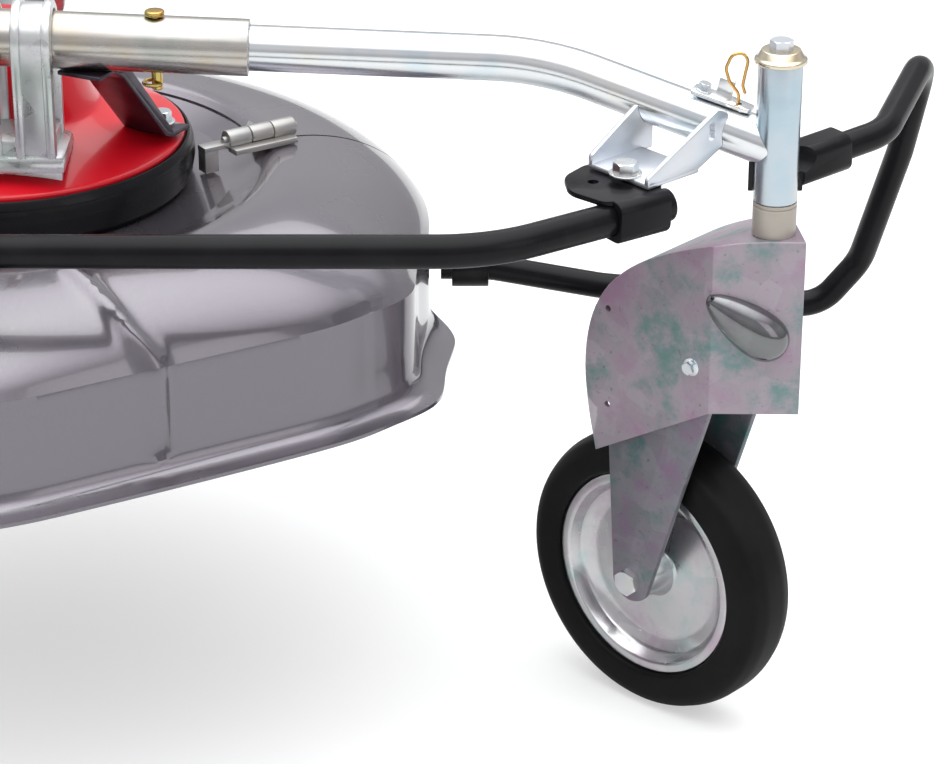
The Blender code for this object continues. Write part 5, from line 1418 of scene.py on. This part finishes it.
def blister():
    """The long drop-shaped swelling pressed out of the near front flat."""
    bm = bmesh.new()
    bmesh.ops.create_uvsphere(bm, u_segments=64, v_segments=32, radius=1)
    for v in bm.verts:
        fat = 1 - 0.32 * v.co.x
        v.co = Vector((v.co.x * 36 * MM, v.co.y * 17.5 * MM / fat, v.co.z * 15 * MM / fat))
    bmesh.ops.bisect_plane(
        bm, geom=bm.verts[:] + bm.edges[:] + bm.faces[:], dist=1e-6,
        plane_co=(0, 0, -2 * MM), plane_no=(0, 0, 1), clear_inner=True,
    )
    bmesh.ops.holes_fill(bm, edges=[e for e in bm.edges if e.is_boundary], sides=0)
    recalculate(bm)
    flat = Vector((HOOD_NOSE_X - HOOD_BEND_X, -HOOD_HALF, 0)).normalized()
    nose_way = TRAIL_DIR * flat.x + FORK_SIDE * flat.y
    out = nose_way.cross(Z_AXIS)
    out = -out if out.y > 0 else out
    slant = (nose_way * 0.8 - Z_AXIS * 0.6).normalized()
    axes = Matrix((slant, out.cross(slant), out)).transposed()
    return place(bm, axes, fork_point(1 * MM, 27.3 * MM, -82 * MM))


def build_forks():
    outer = [(x * MM, up(h * MM)) for x, h in HOOD_OUTLINE]
    skin = hood_form(outer, 0, 10 * MM)
    inner = offset_line(outer, -HOOD_WALL)
    inner = [p for p in inner if p[0] < 120 * MM] + [(180 * MM, up(-250 * MM))]
    lip = [(-60, -154), (20, -154), (128, -219), (260, -298), (260, -400), (-60, -400)]
    axes = axes_of(TRAIL_DIR, Z_AXIS)
    across = axes.col[2]
    under = plate([(x * MM, up(h * MM)) for x, h in lip], 160 * MM, axes, POST_AT - across * 80 * MM, edge=0)
    skin = cut(skin, hood_form(inner, HOOD_WALL, 7 * MM), under)
    for x, h in ((118, -98), (117, -177)):
        spot = fork_point(x * MM, 0, h * MM)
        skin = cut(skin, hole(spot, spot + FORK_SIDE * 60 * MM, 2.6 * MM))
    pair("hood_form", skin, FORK_ZINC, "fork", smooth=38)
    # The swelling takes a darker zinc than the hood around it: painted shade.
    pair("hood_swelling", blister(), SWELLING_PAINTED_SHADE, "fork", False)
    leg = [(24, -60), (40, -30), (75, -46.5), (100, -62.5), (117, -80), (122, -215)]
    leg = [(x * MM, up(h * MM)) for x, h in leg] + [(115 * MM, WHEEL_R)]
    for i in range(1, 25):
        angle = math.radians(-150 * i / 24)
        leg.append((TRAIL + 18 * MM * math.cos(angle), WHEEL_R + 18 * MM * math.sin(angle)))
    leg.append((26 * MM, up(-160 * MM)))
    axle_h = WHEEL_R - RIM_Z
    ends = (fork_point(TRAIL, -90 * MM, axle_h), fork_point(TRAIL, 90 * MM, axle_h))
    legs = [
        cut(plate(leg, LEG_T, axes, POST_AT + across * n, edge=1.6 * MM), hole(*ends, AXLE_R + 0.4 * MM))
        for n in (-LEG_IN - LEG_T, LEG_IN)
    ]
    for n in (-1, 1):
        face = fork_point(TRAIL, n * (LEG_IN + LEG_T - 0.2 * MM), axle_h)
        legs.append(rod(face, face + FORK_SIDE * n * 0.5 * MM, 15 * MM, AXLE_R + 0.4 * MM, corner=0.2 * MM))
    pair("leg_form", add(*legs), LEG_ZINC, "fork", False)
    stem = rod(fork_point(0, 0, -32 * MM), fork_point(0, 0, 122 * MM), STEM_R, steps=64)
    pair("stem_form", stem, ZINC, "fork", False)
    bush = turned(
        [(STEM_R + 0.1 * MM, -17 * MM), (POST_R, -17 * MM), (POST_R, 4.6 * MM), (POST_R - 1 * MM, 5.2 * MM),
         (POST_R, 5.8 * MM), (POST_R, 8.2 * MM), (STEM_R + 0.1 * MM, 8.2 * MM)],
        fork_point(0, 0, 0), steps=96, corner=0.4 * MM,
    )
    pair("bush_form", bush, BUSH, "fork", False)
    spot = fork_point(37 * MM, HOOD_HALF - 0.2 * MM, -121 * MM)
    pair("hood_bolt", hex_head(spot, FORK_SIDE, 9 * MM, 5 * MM, 7 * MM, 1.2 * MM), ZINC, "fork", False)


def build_caps():
    seat = POST_H[1] + 0.5 * MM
    loop = [
        (STEM_R + 0.4 * MM, seat), (CAP_R, seat), (CAP_R, seat + 3 * MM), (17 * MM, seat + 4.4 * MM),
        (14 * MM, 123 * MM), (0, 123 * MM), (0, 122.4 * MM), (STEM_R + 0.4 * MM, 122.4 * MM),
    ]
    cap = turned([(r, up(h)) for r, h in loop], Vector((POST_AT.x, POST_AT.y, 0)), steps=96, corner=0.7 * MM)
    top = Vector((POST_AT.x, POST_AT.y, up(122.7 * MM)))
    pair("cap_form", cap, GOLD_WASH, "stem_cap")
    pair("cap_bolt", hex_head(top, Z_AXIS, 15 * MM, 7.4 * MM), BRIGHT_ZINC, "stem_cap", False)


def build_axles():
    centre = fork_point(TRAIL, 0, WHEEL_R - RIM_Z)
    reach = LEG_IN + LEG_T + 0.4 * MM
    axle = rod(centre - FORK_SIDE * (reach + 1 * MM), centre + FORK_SIDE * (reach + 1 * MM), AXLE_R)
    for side in (-1, 1):
        add(axle, hex_head(centre + FORK_SIDE * side * reach, FORK_SIDE * side, 19 * MM, 7 * MM))
    pair("axle_form", axle, ZINC, "axle")


# Camera, light and floor

CAMERA_AT = (0.361, -2.348, 1.321)
CAMERA_PITCH = math.radians(65)
FOCAL_PX = 3250
IMAGE_WIDE = 938


def build_camera():
    camera = bpy.data.cameras.new("camera")
    camera.sensor_width = 36
    camera.sensor_fit = "HORIZONTAL"
    camera.lens = FOCAL_PX / IMAGE_WIDE * camera.sensor_width
    holder = bpy.data.objects.new("camera", camera)
    holder.location = CAMERA_AT
    holder.rotation_euler = (CAMERA_PITCH, 0, 0)
    bpy.context.scene.collection.objects.link(holder)
    bpy.context.scene.camera = holder


def area_lamp(name, at, target, size, power):
    lamp = bpy.data.lights.new(name, "AREA")
    lamp.shape = "RECTANGLE"
    lamp.size, lamp.size_y = size
    lamp.energy = power
    holder = bpy.data.objects.new(name, lamp)
    holder.location = at
    way = Vector(target) - Vector(at)
    holder.rotation_euler = way.to_track_quat("-Z", "Y").to_euler()
    bpy.context.scene.collection.objects.link(holder)
    return holder


def build_lights():
    key = area_lamp("key", (-0.3, -0.9, 3.0), (0.1, -0.1, 0.3), (3.2, 1.6), 16)
    key.visible_glossy = False
    area_lamp("fill", (2.8, -2.2, 1.5), (0.3, 0, 0.3), (1.2, 1.8), 6)
    area_lamp("back", (0.4, 2.6, 2.8), (0.2, 0, 0.3), (2.6, 0.8), 8)
    world = bpy.data.worlds.new("studio")
    world.use_nodes = True
    make = Maker(world.node_tree)
    place = make.node("ShaderNodeTexCoord").outputs["Generated"]
    height = make.node("ShaderNodeSeparateXYZ", {0: place}).outputs["Z"]
    shades = make.node("ShaderNodeValToRGB", {"Fac": height})
    ramp = shades.color_ramp
    ramp.elements[0].position, ramp.elements[0].color = 0.0, (0.8, 0.8, 0.82, 1)
    ramp.elements[1].position, ramp.elements[1].color = 1.0, (8.0, 8.4, 8.0, 1)
    for position, tone in ((0.12, 1.1), (0.36, 1.6), (0.50, 1.4), (0.57, 1.2), (0.68, 3.4), (0.86, 6.4)):
        ramp.elements.new(position).color = (tone, tone, tone * 1.03, 1)
    back = world.node_tree.nodes["Background"]
    world.node_tree.links.new(shades.outputs["Color"], back.inputs["Color"])
    back.inputs["Strength"].default_value = 0.4
    bpy.context.scene.world = world


def build_floor():
    """Pale floor that goes white to the camera where no shadow falls."""
    bm = bmesh.new()
    bmesh.ops.create_grid(bm, x_segments=1, y_segments=1, size=14)
    mesh = bpy.data.meshes.new("floor")
    bm.to_mesh(mesh)
    bm.free()
    floor = bpy.data.objects.new("floor", mesh)
    floor.location = (0, 0, -0.0005)
    bpy.context.scene.collection.objects.link(floor)
    look = bpy.data.materials.new("floor")
    look.use_nodes = True
    make = Maker(look.node_tree)
    path = make.node("ShaderNodeLightPath")
    seen = make.math("MAXIMUM", path.outputs["Is Camera Ray"], path.outputs["Is Transmission Ray"])
    mirrored_light = make.math("MULTIPLY", path.outputs["Is Glossy Ray"], 0.1)
    shader = look.node_tree.nodes["Principled BSDF"]
    shader.inputs["Base Color"].default_value = (0.55, 0.55, 0.55, 1)
    shader.inputs["Roughness"].default_value = 0.9
    shader.inputs["Emission Color"].default_value = (1, 1, 1, 1)
    glow = make.math("MAXIMUM", make.math("MULTIPLY", seen, 0.5), mirrored_light)
    look.node_tree.links.new(glow, shader.inputs["Emission Strength"])
    mesh.materials.append(look)


def build_stage():
    build_camera()
    build_lights()
    build_floor()
    bpy.context.scene.view_settings.view_transform = "Standard"


dress_frame()
build_deck()
build_hinges()
build_hub()
build_arms()
build_guards()
build_posts()
build_wheels()
build_drive()
build_knives()
build_deck_supports()
build_saddles()
build_braces()
build_lynch_pins()
build_brackets()
build_clamps()
build_locks()
build_forks()
build_caps()
build_axles()
build_stage()
